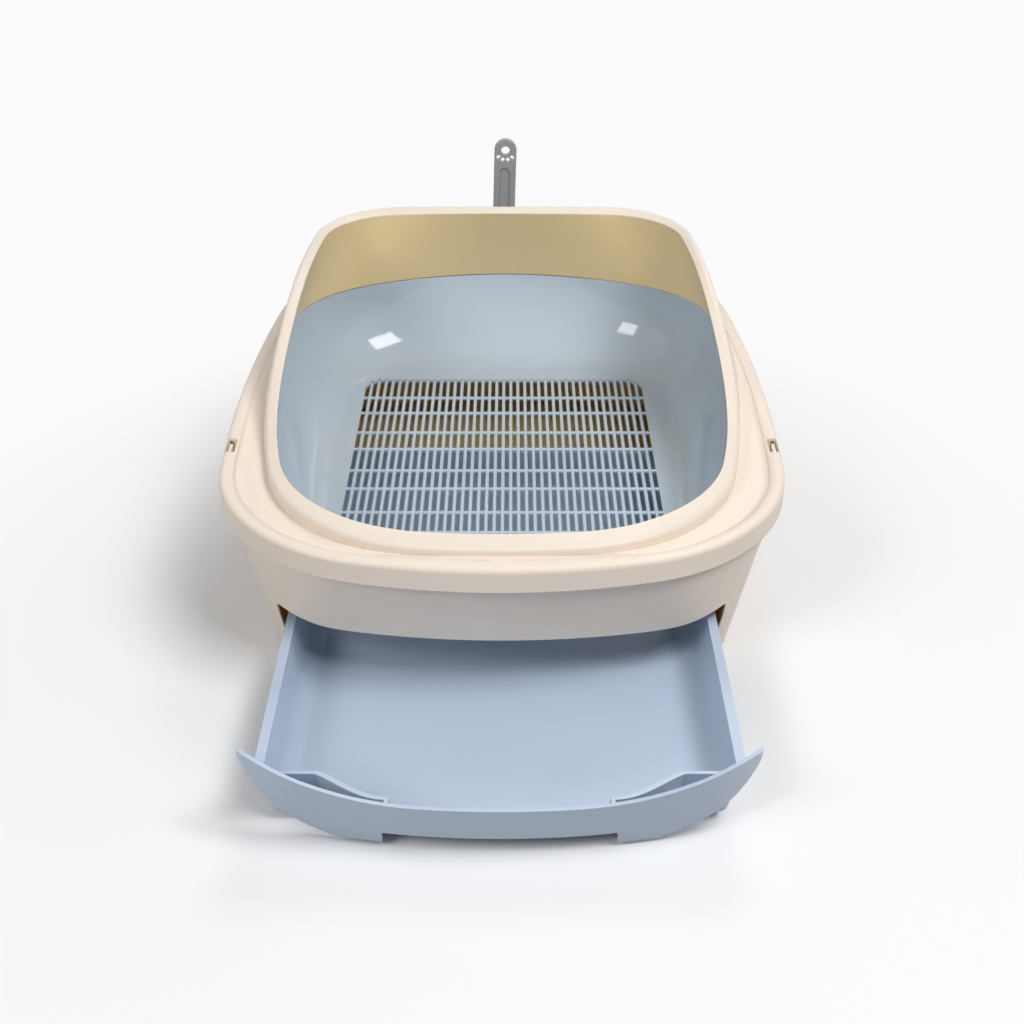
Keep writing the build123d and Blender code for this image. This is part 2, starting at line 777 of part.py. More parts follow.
def make_holder():
    """Open-topped pocket with a back plate that hangs from two hooks."""
    inner_width = blade_width + 2 * holder_side_room
    inner_depth = blade_depth + holder_depth_room
    front = skirt_reach + holder_gap
    middle = front + holder_wall + inner_depth / 2
    pocket_top = tub_height - holder_front_drop
    outer = RectangleRounded(inner_width + 2 * holder_wall, inner_depth + 2 * holder_wall, holder_corner)
    body = extrude(Pos(0, middle, holder_bottom) * outer, pocket_top - holder_bottom)
    body = fillet(body.faces().sort_by(Axis.Z)[0].edges(), holder_round)
    body += block(-holder_plate_width / 2, holder_plate_width / 2, front, front + holder_wall,
                  pocket_top - holder_corner, tab_low + holder_plate_rise)
    body = fillet(body.edges().filter_by(Axis.Y).group_by(Axis.Z)[-1], holder_plate_corner)
    inner = RectangleRounded(inner_width, inner_depth, holder_corner - holder_wall)
    body -= extrude(Pos(0, middle, holder_bottom + holder_wall) * inner, pocket_top)
    body += make_hook_tab()
    return body + make_hook_tab().mirror(Plane.YZ)


parts = {
    "base_tub": make_tub,
    "drawer": make_drawer,
    "sieve_pan": make_pan,
    "sieve_grille": make_grille,
    "surround": make_surround,
    "scoop_holder": make_holder,
    "scoop": make_scoop,
}

os.makedirs("parts", exist_ok=True)
for name, make in parts.items():
    solid = make()
    export_step(solid, "parts/" + name + ".step")
    print(name, "volume", round(solid.volume), "solids", len(solid.solids()))
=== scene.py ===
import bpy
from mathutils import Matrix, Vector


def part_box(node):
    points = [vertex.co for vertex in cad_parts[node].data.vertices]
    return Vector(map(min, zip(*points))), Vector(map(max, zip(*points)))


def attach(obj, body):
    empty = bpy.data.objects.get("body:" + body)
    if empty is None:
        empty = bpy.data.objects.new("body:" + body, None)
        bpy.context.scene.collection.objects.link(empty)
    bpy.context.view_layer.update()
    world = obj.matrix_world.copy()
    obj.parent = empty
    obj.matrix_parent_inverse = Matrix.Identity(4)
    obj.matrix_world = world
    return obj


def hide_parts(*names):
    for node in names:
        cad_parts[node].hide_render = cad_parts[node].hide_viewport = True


bl_info = {
    "name": "Sifting litter box",
    "version": (1, 0, 0),
    "blender": (4, 5, 0),
    "location": "3D View > Sidebar > Litter Box",
    "description": "Builds a sifting litter box in moulded polypropylene around its frame",
    "category": "Object",
}

from collections import namedtuple
from math import atan2, cos, hypot, pi, radians, sin, sqrt

import bmesh
import bpy
import numpy as np
from mathutils import Matrix, Vector

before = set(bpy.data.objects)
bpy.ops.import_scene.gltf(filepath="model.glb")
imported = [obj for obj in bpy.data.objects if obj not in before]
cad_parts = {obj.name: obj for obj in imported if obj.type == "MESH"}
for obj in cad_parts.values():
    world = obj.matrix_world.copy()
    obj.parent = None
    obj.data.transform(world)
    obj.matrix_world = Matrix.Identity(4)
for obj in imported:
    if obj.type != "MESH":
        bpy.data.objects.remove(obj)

# Lengths in this file are millimetres, and meshes are made in metres
MM = 0.001


def box_of(node):
    """Lowest and highest corners of a node of the frame."""
    low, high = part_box(node)
    return np.array(low) / MM, np.array(high) / MM


# Sizes read from the frame
surround_low, surround_high = box_of("surround")
grille_low, grille_high = box_of("sieve_grille")
scoop_low, scoop_high = box_of("scoop")

SKIRT_HALF = surround_high[0]
SKIRT_REACH = surround_high[1]
SKIRT_LOW = surround_low[2]
RIM_HIGH = surround_high[2]
PAN_TOP = box_of("sieve_pan")[1][2]
PAN_FLOOR = grille_high[2]
GRILLE_HALF = grille_high[0]
GRILLE_FRONT = grille_low[1]
GRILLE_BACK = grille_high[1]

# Value of the inside attribute on the inner side of a shell, where a golden glow is painted in place of
# the light that comes through the plastic
PAINTED_GLOW_SIDE = 1.0

# Outlines in plan: how far the sides, front and back of each lie inside the one it is drawn from,
# the radii of its front, side and back bows, the radii of its front and back corners as shares of
# its half width, and where along the body it is widest
SHOULDER_INSET = (8.7, 7.0, 7.0)
FOOT_INSET = (30.5, 31.0, 31.0)
OPENING_INSET = (25.7, 33.5, 23.0)
HIGH_INSET = (25.5, 24.0, 27.0)
FLOOR_INSET = (45.5, 62.5, 64.0)
SKIRT_BOWS = (422.0, 1670.0, 600.0)
TUB_BOWS = (520.0, 2600.0, 600.0)
OPENING_BOWS = (520.0, 1110.0, 285.0)
HIGH_BOWS = (520.0, 1110.0, 2000.0)
FLOOR_BOWS = (900.0, 1500.0, 900.0)
SKIRT_CORNER_SHARES = (0.655, 0.424)
SHOULDER_CORNER_SHARES = (0.6, 0.6)
FOOT_CORNER_SHARES = (0.254, 0.254)
OPENING_CORNER_SHARES = (0.676, 0.547)
HIGH_CORNER_SHARES = (0.634, 0.41)
FLOOR_CORNER_SHARES = (0.44, 0.44)
SKIRT_WIDEST = -8.0
TUB_WIDEST = 16.0
OPENING_WIDEST = 100.0
HIGH_WIDEST = 45.0
FLOOR_WIDEST = 20.0

# How far the rim band stands out round the opening at its sides, front, back and corners
BAND_OUT = (9.5, 17.0, 14.0, 12.0)

# Walls, and small steps that keep two faces from lying in one plane
SKIRT_WALL = 2.8
SHELL_WALL = 2.5
TUB_WALL = 2.6
BAND_THICKNESS = 2.2
BAND_STEP = 0.02
BLOCK_STEP = 0.05

# Heights of the tub and the surround
TUB_HEIGHT = SKIRT_LOW
TUB_FLOOR = 4.0
UNDERSIDE = 1.5
LEDGE_TOP = TUB_HEIGHT + 11.0
LEDGE_THICKNESS = 2.6
GROOVE = LEDGE_TOP + 3.0
RIDGE = GROOVE + 5.0
RIM_LOW = GROOVE + 12.0
RIM_RISE = RIM_HIGH - RIM_LOW

# Surround: its ridge, the climb of its rim and how level that starts and ends, the rim band's fall
# outwards, which the lift turns into a rise at the high back, and the share of its wall's height
# that is upright under the leaning part
RIDGE_WIDTH = 8.5
RISE_START = 146.0 - SKIRT_REACH
RISE_END = SKIRT_REACH - 152.0
RISE_HANDLE = 1.5
BAND_FALL = 2.5
BAND_LIFT = 6.5
UPRIGHT_SHARE = 0.2
INNER_RIM_SHARE = 0.6

# Gutter inside the ridge: its floor's width, how far forward its front part starts, how it fades
# out towards the middle of the front and towards the back, and the depth that is left there
GUTTER_WIDTH = 5.0
GUTTER_FRONT = -150.0
GUTTER_SIDE_FADE = (35.0, 130.0)
GUTTER_BACK_FADE = (20.0, -90.0)
GUTTER_LEAST_DEPTH = 0.3

# Windows for the tub's snap tongues, slots for the hooks of the scoop's holder, and how far a cutter
# runs past the surface it cuts
WINDOW_AT = 172.0 - SKIRT_REACH
WINDOW_EDGE = 1.6
WINDOW_WIDTH = 7.2
WINDOW_HALF_LENGTH = 10.5
HOOK_AT = 35.0
HOOK_HALF = 7.4
HOOK_LOW, HOOK_HIGH = 3.6, 10.0
OVERRUN = 2.0

# Tub: foot, ledge, cross ribs, runner ribs and snap tongues
FOOT_RING = 8.0
FOOT_ROUND = 5.0
LEDGE_TO_SKIRT = 2.6
FLOOR_RUN = 12.0
FLOOR_ROUND = 4.0
SHOULDER_ROUND = 2.0
CROSS_RIB_HALF = 4.0
CROSS_RIB_INSET = 12.0
CROSS_RIB_SINK = 0.5
RUNNER_NEAR, RUNNER_FAR = 87.5, 92.5
RUNNER_INSETS = (14.0, 30.0)
RUNNER_HEIGHT = 0.8
RUNNER_SINK = 1.0
TONGUE_GAP = 0.5
TONGUE_HALF = 7.0
TONGUE_THICKNESS = 2.0
TONGUE_ROOT = 6.0
TONGUE_JOIN = 0.1
TONGUE_HEIGHT = 5.0

# Doorway: the tray's side, the opening's top, its flared corners as steps out from the tray's side,
# and their roundings
TRAY_INSET = 23.2
DOORWAY_TOP = 50.0
DOORWAY_LOW_OUT = 0.7
DOORWAY_WAIST_OUT, DOORWAY_WAIST_DROP = 8.7, 10.0
DOORWAY_TIP_OUT, DOORWAY_TIP_RISE = 10.7, 7.5
DOORWAY_FLAT_IN = 25.8
DOORWAY_ROUNDS = (0, 6.0, 3.2, 60.0)
DOORWAY_OVERRUN = 20.0

# Sieve pan and its grille
PAN_GAP = 0.3
MOUTH_SET = 1.0
FLANGE_GAP = 1.0
FLANGE_ROUND = 1.2
MOUTH_ROUND = 1.6
BOWL_DRAFT_SHARE = 0.25
BOWL_STEPS = 26
BOWL_FIRST = 2
GRILLE_MARGIN = 3.5
GRILLE_CORNER = 18.0
BAR_ROUND = 0.7
BAR_ROUND_STEPS = 3
FRAME_CORNER_STEPS = 12
CROSS_BAR_SINK = 0.12

# Scoop: the round top of its handle and the oval holes on a ring under the hanging hole, by their
# half widths and their angles from straight down
HANDLE_HALF = 10.35
SCOOP_LEAN = 1.6
TOE_RING = 9.3
TOE_HALF = (1.85, 2.35)
TOE_ANGLES = (-44, -15, 15, 44)
TOE_PIN_LENGTH = 60.0
TOE_PIN_SIDES = 24

# Roundings, as the reach from a sharp corner to where its rounding starts
FINE_EDGE = 0.3
EDGE = 0.5
SHELF_EDGE = 0.6
SKIRT_EDGE = 0.8
UPRIGHT_ROUND = 1.0
RIM_ROUND = 1.6
WALL_FOOT_ROUND = 2.8
RIDGE_INNER_ROUND = 3.6
GUTTER_ROUND = 4.0
BAND_ROUND = 4.6
RIDGE_ROUND = 7.0

# How finely outlines and roundings are divided, how near a rounding its flat side gets a loop that
# keeps the side's shading flat, and the largest share of a side that one rounding takes up
BOW_STEPS = 40
CORNER_STEPS = 26
ROUND_STEPS = 4
DOORWAY_ROUND_STEPS = 6
SUPPORT = 0.35
SUPPORT_SHARE = 0.2
REACH_SHARE = 0.48

# Shortest length that anything is divided by
TINY = 1e-9

# Rounds of the two searches that place the rim's edge
RISE_ROUNDS = 30
EDGE_ROUNDS = 40

# Vertices closer than these are one, and faces that turn less than this angle are one face
WELD = 0.002
NODE_WELD = 0.003
COARSE_WELD = 0.01
SLIVER = 0.001
FLAT_ANGLE = 0.6

# Shading: edges that turn more than these angles stay hard, those of the drawer that turn more than
# the bevel angle are softened, and large faces weigh most in the shading of a copied node
SHELL_SHARP = 35
TUB_SHARP = 30
PAN_SHARP = 40
NODE_SHARP = 30
BEVEL_ANGLE = 50
LARGE_FACE_WEIGHT = 80

# Stage. The lamps, by place and size, and the shadow are in metres. The paper looks like paper only
# in an oval round the object, and fades to white beyond it.
WHITE = "#FBFBFB"
SKY = "#FBFBFD"
PAPER_SEEN = "#F6F6F6"
PAPER_THROWN = "#BCBCBC"
LAMP_TARGET = (0, -0.05, 0.05)
KEY_LAMP = ((1.1, -0.95, 2.1), (1.2, 0.85))
FRONT_LAMP = ((-1.4, -1.5, 1.5), (0.8, 0.75))
OVERHEAD_LAMP = ((0.5, 1.55, 2.2), (1.0, 1.0))
FLOOR_DROP = 0.1
SHADOW_REACH = (0.2, 0.6)
SHADOW_CENTRE = 0.2
SHADOW_DEPTH = 0.85
CAMERA_AT = (7.5, -1057.5, 645.3)
CAMERA_TILT = 31.02
SENSOR_WIDTH = 36.0

Plan = namedtuple("Plan", "half widest front back front_bow side_bow back_bow front_corner back_corner")


# Outlines in plan
def plan_of(half, widest, front, back, bows, shares):
    """An outline from its reaches, the radii of its bows and its corner shares."""
    return Plan(half, widest, front, back, *bows, half * shares[0], half * shares[1])


def inner_plan(outer, inset, widest, bows, shares):
    """An outline that lies inside another one."""
    side, front, back = inset
    return plan_of(outer.half - side, widest, outer.front - front, outer.back - back, bows, shares)


def widened(plan, side, front, back, corner):
    """The same outline with its sides, front, back and corners moved outwards."""
    return Plan(plan.half + side, plan.widest, plan.front + front, plan.back + back,
                plan.front_bow + front, plan.side_bow + side, plan.back_bow + back,
                plan.front_corner + corner, plan.back_corner + corner)


def grown(plan, by):
    """The same outline, moved outwards all round."""
    return widened(plan, by, by, by, by)


def between(first, second, share):
    """An outline part of the way from one to another."""
    return Plan(*[a + (b - a) * share for a, b in zip(first, second)])


def corner_centre(bow_centre, bow_reach, side_centre, side_reach, end):
    """Centre of the corner arc that touches an end bow and a side bow."""
    run, rise = side_centre[0] - bow_centre[0], side_centre[1] - bow_centre[1]
    apart = hypot(run, rise)
    along = (apart ** 2 + bow_reach ** 2 - side_reach ** 2) / (2 * apart)
    across = sqrt(bow_reach ** 2 - along ** 2)
    return (bow_centre[0] + (along * run + end * across * rise) / apart,
            bow_centre[1] + (along * rise - end * across * run) / apart)


def outline(plan):
    """Points of an outline as (x, y) rows.

    Each of its eight arcs has the same number of points on every outline, so that rings match."""
    front_centre = (0, plan.front_bow - plan.front)
    back_centre = (0, plan.back - plan.back_bow)
    side_centre = (plan.half - plan.side_bow, plan.widest)
    front_corner = corner_centre(front_centre, plan.front_bow - plan.front_corner,
                                 side_centre, plan.side_bow - plan.front_corner, -1)
    back_corner = corner_centre(back_centre, plan.back_bow - plan.back_corner,
                                side_centre, plan.side_bow - plan.back_corner, 1)

    def bearing(centre, point):
        """Direction of a point as seen from a centre."""
        return atan2(point[1] - centre[1], point[0] - centre[0])

    front_turn = bearing(front_centre, front_corner)
    side_front = bearing(side_centre, front_corner)
    side_back = bearing(side_centre, back_corner)
    back_turn = bearing(back_centre, back_corner)
    right = [
        (front_centre, plan.front_bow, -pi / 2, front_turn, BOW_STEPS),
        (front_corner, plan.front_corner, front_turn, side_front, CORNER_STEPS),
        (side_centre, plan.side_bow, side_front, side_back, 2 * BOW_STEPS),
        (back_corner, plan.back_corner, side_back, back_turn, CORNER_STEPS),
        (back_centre, plan.back_bow, back_turn, pi / 2, BOW_STEPS),
    ]
    rows = []
    for centre, radius, start, end, steps in right:
        angles = np.linspace(start, end, steps, endpoint=False)
        rows.append(np.column_stack((centre[0] + radius * np.cos(angles),
                                     centre[1] + radius * np.sin(angles))))
    half = np.vstack(rows + [[[0, plan.back]]])
    return np.vstack((half, half[-2:0:-1] * (-1, 1)))


def half_at(plan, y):
    """Half width of an outline on its side bow."""
    return plan.half - plan.side_bow + sqrt(plan.side_bow ** 2 - (y - plan.widest) ** 2)


def mirrored_limits(side, x_low, x_high, y_low, y_high, z_low, z_high):
    """Lowest and highest corners of a box that is given for the right side."""
    near, far = sorted((side * x_low, side * x_high))
    return (near, y_low, z_low), (far, y_high, z_high)


def ring(plan, height, inside=0.0):
    """Rows of (x, y, z, inside) for an outline at a height, with the value of inside all round."""
    flat = outline(plan)
    return np.column_stack((flat, np.full(len(flat), float(height)), np.full(len(flat), float(inside))))


SKIRT = plan_of(SKIRT_HALF, SKIRT_WIDEST, SKIRT_REACH, SKIRT_REACH, SKIRT_BOWS, SKIRT_CORNER_SHARES)
SHOULDER = inner_plan(SKIRT, SHOULDER_INSET, TUB_WIDEST, TUB_BOWS, SHOULDER_CORNER_SHARES)
FOOT = inner_plan(SHOULDER, FOOT_INSET, TUB_WIDEST, TUB_BOWS, FOOT_CORNER_SHARES)
OPENING = inner_plan(SKIRT, OPENING_INSET, OPENING_WIDEST, OPENING_BOWS, OPENING_CORNER_SHARES)
OPENING_TOP = inner_plan(OPENING, HIGH_INSET, HIGH_WIDEST, HIGH_BOWS, HIGH_CORNER_SHARES)
PAN_BOTTOM = inner_plan(OPENING, FLOOR_INSET, FLOOR_WIDEST, FLOOR_BOWS, FLOOR_CORNER_SHARES)
RIM_BAND = widened(OPENING, *BAND_OUT)
RIM_BAND_TOP = widened(OPENING_TOP, *BAND_OUT)
FLANGE = grown(RIM_BAND, -SHELL_WALL - FLANGE_GAP)
PAN_MOUTH = grown(OPENING, MOUTH_SET)


def tub_plan(height, by):
    """Outline of the tub's leaning wall at a height, moved out or in."""
    return grown(between(FOOT, SHOULDER, height / TUB_HEIGHT), by)


def rim_height(y):
    """Height of the rim's edge, which climbs in one smooth curve from the front to the back.

    The curve is a cubic that is level at both ends. Its parameter is found by halving."""
    share = np.clip((np.asarray(y) - RISE_START) / (RISE_END - RISE_START), 0, 1)
    low, high = np.zeros_like(share), np.ones_like(share)
    for _ in range(RISE_ROUNDS):
        middle = (low + high) / 2
        run = middle ** 3 + RISE_HANDLE * (middle * (1 - middle) ** 2 + middle ** 2 * (1 - middle))
        low = np.where(run < share, middle, low)
        high = np.where(run < share, high, middle)
    return RIM_LOW + RIM_RISE * (3 * middle ** 2 - 2 * middle ** 3)


def rim_ring(low_plan, high_plan, drop, inside=0.0, lift=0.0):
    """Points where a leaning wall of the rim meets the rim's edge, lowered by a drop.

    A lift raises them again as the rim climbs, and in full at the high back."""
    foot, head = ring(low_plan, RIM_LOW, inside), ring(high_plan, RIM_HIGH, inside)
    share = np.full(len(foot), 0.5)
    for _ in range(EDGE_ROUNDS):
        y = foot[:, 1] + (head[:, 1] - foot[:, 1]) * share
        climb = (rim_height(y) - RIM_LOW) / RIM_RISE
        share = 0.5 * share + 0.5 * (climb - (drop - lift * climb) / RIM_RISE)
    share = np.maximum(share, -BAND_THICKNESS / RIM_RISE)
    points = foot + (head - foot) * share[:, None]
    flat = share < 0
    points[flat, :2] = foot[flat, :2]
    return points


# Meshes
def cleaned(mesh, weld):
    """Welds vertices that lie closer than a distance, and turns all faces outwards."""
    bm = bmesh.new()
    bm.from_mesh(mesh)
    bmesh.ops.remove_doubles(bm, verts=bm.verts, dist=weld * MM)
    bmesh.ops.recalc_face_normals(bm, faces=bm.faces)
    bm.to_mesh(mesh)
    bm.free()


def rounded_sections(corners, reaches, closed, steps=ROUND_STEPS):
    """Rows of points round a section whose corners are rounded over a reach on each side.

    A corner is an array of (x, y, z, inside) rows, one for each point of the outlines. Each
    rounding is a circular arc that touches both sides, with one more row beside it on each."""
    count = len(corners)
    rows = []
    for number, (corner, reach) in enumerate(zip(corners, reaches)):
        first, last = number == 0, number == count - 1
        if reach == 0 or (not closed and (first or last)):
            rows.append(corner)
            continue
        before, after = corners[number - 1], corners[(number + 1) % count]
        in_space = (1, 1, 1, 0)
        back, ahead = (before - corner) * in_space, (after - corner) * in_space
        back_length = np.linalg.norm(back, axis=1, keepdims=True)
        ahead_length = np.linalg.norm(ahead, axis=1, keepdims=True)
        back, ahead = back / np.maximum(back_length, TINY), ahead / np.maximum(ahead_length, TINY)
        trim = np.minimum(reach, REACH_SHARE * np.minimum(back_length, ahead_length))
        start, end = corner + back * trim, corner + ahead * trim
        bend = np.arccos(np.clip(-(back * ahead).sum(axis=1, keepdims=True), -1, 1))
        weight = np.cos(bend / 2)
        support = np.minimum(SUPPORT, SUPPORT_SHARE * trim)
        rows.append(start + back * support)
        for step in range(steps + 1):
            t = step / steps
            a, b, c = (1 - t) ** 2, 2 * t * (1 - t) * weight, t ** 2
            rows.append((a * start + b * corner + c * end) / (a + b + c))
        rows.append(end + ahead * support)
    return np.stack(rows, axis=1)


def swept(name, corners, closed=True):
    """A piece from (corner, reach of its rounding) pairs, with flat caps where its section is open."""
    sections = rounded_sections(*zip(*corners), closed)
    around, along = sections.shape[:2]
    verts = sections[:, :, :3].reshape(-1, 3) * MM
    faces = []
    for i in range(around):
        j = (i + 1) % around
        for k in range(along if closed else along - 1):
            m = (k + 1) % along
            faces.append((i * along + k, j * along + k, j * along + m, i * along + m))
    if not closed:
        faces.append([i * along for i in range(around)][::-1])
        faces.append([i * along + along - 1 for i in range(around)])
    mesh = bpy.data.meshes.new(name)
    mesh.from_pydata([tuple(v) for v in verts], [], faces)
    # The inside value marks the inner side of a shell, where the material paints a golden glow
    layer = mesh.attributes.new("inside", "FLOAT", "POINT")
    layer.data.foreach_set("value", sections[:, :, 3].ravel().astype(np.float32))
    cleaned(mesh, WELD)
    return place(name, mesh)


def merged_copy(name, node):
    """A piece from a node's own mesh, with its loose triangles joined into flat faces."""
    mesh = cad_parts[node].data.copy()
    mesh.name = name
    bm = bmesh.new()
    bm.from_mesh(mesh)
    bmesh.ops.remove_doubles(bm, verts=bm.verts, dist=NODE_WELD * MM)
    bmesh.ops.dissolve_degenerate(bm, edges=bm.edges, dist=SLIVER * MM)
    bmesh.ops.dissolve_limit(bm, angle_limit=radians(FLAT_ANGLE), verts=bm.verts, edges=bm.edges,
                             delimit={"NORMAL"})
    bm.to_mesh(mesh)
    bm.free()
    return place(name, mesh)


def block_mesh(low, high):
    """Box mesh by its limits."""
    mesh = bpy.data.meshes.new("block")
    bm = bmesh.new()
    bmesh.ops.create_cube(bm, size=1.0)
    low, high = Vector(low) * MM, Vector(high) * MM
    for vert in bm.verts:
        share = vert.co + Vector((0.5, 0.5, 0.5))
        vert.co = Vector([low[n] + (high[n] - low[n]) * share[n] for n in range(3)])
    bm.to_mesh(mesh)
    bm.free()
    return mesh


def place(name, mesh):
    """Scene object for a mesh."""
    piece = bpy.data.objects.new(name, mesh)
    bpy.context.scene.collection.objects.link(piece)
    return piece


def shade(piece, sharp_angle):
    """Smooth shading with hard edges only past an angle."""
    mesh = piece.data
    mesh.shade_smooth()
    mesh.set_sharp_from_angle(angle=radians(sharp_angle))


def evened(piece):
    """Smooth shading that follows the large faces of a copied node."""
    shade(piece, NODE_SHARP)
    even = piece.modifiers.new("Even shading", "WEIGHTED_NORMAL")
    even.keep_sharp = True
    even.weight = LARGE_FACE_WEIGHT
    baked(piece)


def baked(piece):
    """Turns an object's live modifiers into its plain mesh."""
    graph = bpy.context.evaluated_depsgraph_get()
    mesh = bpy.data.meshes.new_from_object(piece.evaluated_get(graph))
    piece.modifiers.clear()
    old = piece.data
    piece.data = mesh
    mesh.name = piece.name
    if old.users == 0:
        bpy.data.meshes.remove(old)


def add_blocks(piece, limits, inside):
    """Adds blocks to a piece as they stand, on the inner or the outer side of its shell."""
    bm = bmesh.new()
    bm.from_mesh(piece.data)
    own = len(bm.verts)
    for low, high in limits:
        mesh = block_mesh(low, high)
        bm.from_mesh(mesh)
        bpy.data.meshes.remove(mesh)
    layer = bm.verts.layers.float["inside"]
    bm.verts.ensure_lookup_table()
    for vert in bm.verts[own:]:
        vert[layer] = inside
    bm.to_mesh(piece.data)
    bm.free()


def cut(piece, cutter):
    """Cuts another object's shape out of a piece, and removes that object."""
    before = len(piece.data.vertices)
    change = piece.modifiers.new("Cut", "BOOLEAN")
    change.operation = "DIFFERENCE"
    change.solver = "MANIFOLD"
    change.object = cutter
    baked(piece)
    if len(piece.data.vertices) in (0, before):
        raise RuntimeError(f"{cutter.name} doesn't cut {piece.name}")
    bpy.data.objects.remove(cutter)


def finish_piece(piece, maker, body, slot, *nodes):
    """Gives a piece its material, ties it to its body and hides the nodes it stands for. Its slot is not
    used.
    """
    piece.data.materials.clear()
    piece.data.materials.append(material_named(maker))
    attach(piece, body)
    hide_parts(*nodes)


# Materials: sizes in mm of what the eye sees on moulded polypropylene, and its gloss. The grain of
# a real satin mould is too fine to show in the render, so it is drawn as coarse as it needs to show.
FLOW_MARKS = 90.0
GLOSS_PATCHES = 25.0
GLOSS_SPREAD = 0.12
SATIN_GRAIN = (0.9, 0.02)
DRAWER_GRAIN = (1.2, 0.02)
POLISHED_WAVES = (26.0, 0.06)
GRAIN_STRENGTH = 0.35
POLYPROPYLENE_IOR = 1.49
SOFT_SPECULAR = 0.3
POLISHED = 0.09
SEMI_GLOSS = 0.3
FINE_TEXTURED = 0.36
SATIN = 0.42

# Light under the skin of the cream: its share, how far each colour reaches, and the depth in mm
CREAM_GLOW = (0.3, (1.0, 0.9, 0.75), 1.5)
THIN_WALL_GLOW = (0.7, (0.85, 0.95, 1.0), 4.0)


def linear(hex_colour):
    """Linear colour from an sRGB hex value."""
    values = [int(hex_colour[n:n + 2], 16) / 255 for n in (1, 3, 5)]
    return tuple(v / 12.92 if v <= 0.04045 else ((v + 0.055) / 1.055) ** 2.4 for v in values)


def add_node(tree, kind, inputs=None, **properties):
    """Adds a node. An input, by its name or number, gets a value, a link, or links from a list."""
    node = tree.nodes.new(kind)
    for name, value in properties.items():
        setattr(node, name, value)
    for key, given in (inputs or {}).items():
        for value in given if isinstance(given, list) else [given]:
            if isinstance(value, bpy.types.NodeSocket):
                tree.links.new(value, node.inputs[key])
            else:
                node.inputs[key].default_value = value
    return node


def new_material(name):
    """An empty material and its node tree."""
    material = bpy.data.materials.new(name)
    material.use_nodes = True
    material.node_tree.nodes.clear()
    return material, material.node_tree


def moulded_plastic(name, colours, roughness, grain, painted_glow=None, glow=None):
    """Injection-moulded polypropylene, which looks smooth, soft and slightly waxy.

    The melt leaves slow clouds of tone, and the mould's wear an uneven gloss. The grain of the
    mould's skin is given by size and height in mm. A painted golden glow takes over on the inner side
    of a shell, in place of the light that comes through the plastic. A glow gives the weight, colour
    reach and depth in mm of the light under the skin."""
    material, tree = new_material(name)
    where = add_node(tree, "ShaderNodeTexCoord").outputs["Object"]
    flow = add_node(tree, "ShaderNodeTexNoise",
                    {"Vector": where, "Scale": 1 / (FLOW_MARKS * MM), "Detail": 3.0})
    mottled = add_node(tree, "ShaderNodeMix", {0: flow.outputs["Fac"], 6: (*colours[0], 1),
                                               7: (*colours[1], 1)}, data_type="RGBA")
    base = mottled.outputs[2]
    # Painted glow: the inner side of a shell takes a golden colour in place of light coming through the
    # plastic
    if painted_glow:
        inside = add_node(tree, "ShaderNodeAttribute", attribute_name="inside")
        glow_painted = add_node(tree, "ShaderNodeMix", {0: inside.outputs["Fac"], 6: base, 7: (*painted_glow, 1)},
                          data_type="RGBA")
        base = glow_painted.outputs[2]
    gloss = add_node(tree, "ShaderNodeTexNoise",
                     {"Vector": where, "Scale": 1 / (GLOSS_PATCHES * MM), "Detail": 4.0})
    rough = add_node(tree, "ShaderNodeMapRange",
                     {"Value": gloss.outputs["Fac"], "To Min": roughness * (1 - GLOSS_SPREAD),
                      "To Max": roughness * (1 + GLOSS_SPREAD)})
    size, height = grain
    skin = add_node(tree, "ShaderNodeTexNoise",
                    {"Vector": where, "Scale": 1 / (size * MM), "Detail": 2.0})
    bump = add_node(tree, "ShaderNodeBump", {"Height": skin.outputs["Fac"], "Strength": GRAIN_STRENGTH,
                                             "Distance": height * MM})
    looks = {"Base Color": base, "Roughness": rough.outputs["Result"], "Normal": bump.outputs["Normal"],
             "IOR": POLYPROPYLENE_IOR}
    if glow:
        weight, reach, depth = glow
        looks.update({"Subsurface Weight": weight, "Subsurface Radius": reach,
                      "Subsurface Scale": depth * MM, "Specular IOR Level": SOFT_SPECULAR})
    shader = add_node(tree, "ShaderNodeBsdfPrincipled", looks)
    add_node(tree, "ShaderNodeOutputMaterial", {"Surface": shader.outputs["BSDF"]})
    return material


def cream_polypropylene(settings):
    """Satin cream polypropylene. It is a little translucent, so its edges and hollows look soft.

    On its inner side a golden glow is painted in, in place of the light that comes through the shell."""
    return moulded_plastic("Cream polypropylene, satin moulded", (settings.cream, settings.cream_shade),
                           SATIN, SATIN_GRAIN, settings.cream_inside_painted_glow, CREAM_GLOW)


def translucent_polypropylene(settings):
    """The same cream in the tub's thin wall, which lets some daylight glow through to the inside, with a
    golden glow painted on the inside for the rest.
    """
    return moulded_plastic("Cream polypropylene, thin wall", (settings.cream, settings.cream_shade),
                           SATIN, SATIN_GRAIN, settings.tub_inside_painted_glow, THIN_WALL_GLOW)


def blue_polypropylene(settings):
    """Gloss blue-grey polypropylene from a polished mould, so lamps show as crisp highlights.

    Its skin has no grain, only slow waves, which bend those highlights a little."""
    return moulded_plastic("Blue-grey polypropylene, gloss moulded", (settings.blue, settings.blue_shade),
                           POLISHED, POLISHED_WAVES)


def drawer_polypropylene(settings):
    """Blue-grey polypropylene from a finely textured mould, less glossy than the pan."""
    return moulded_plastic("Blue-grey polypropylene, satin moulded",
                           (settings.drawer_blue, settings.drawer_shade), FINE_TEXTURED, DRAWER_GRAIN)


def grey_polypropylene(settings):
    """Mid-grey polypropylene of the scoop, semi-gloss, so its edges catch a soft light."""
    return moulded_plastic("Grey polypropylene, satin moulded", (settings.grey, settings.grey_shade),
                           SEMI_GLOSS, SATIN_GRAIN)


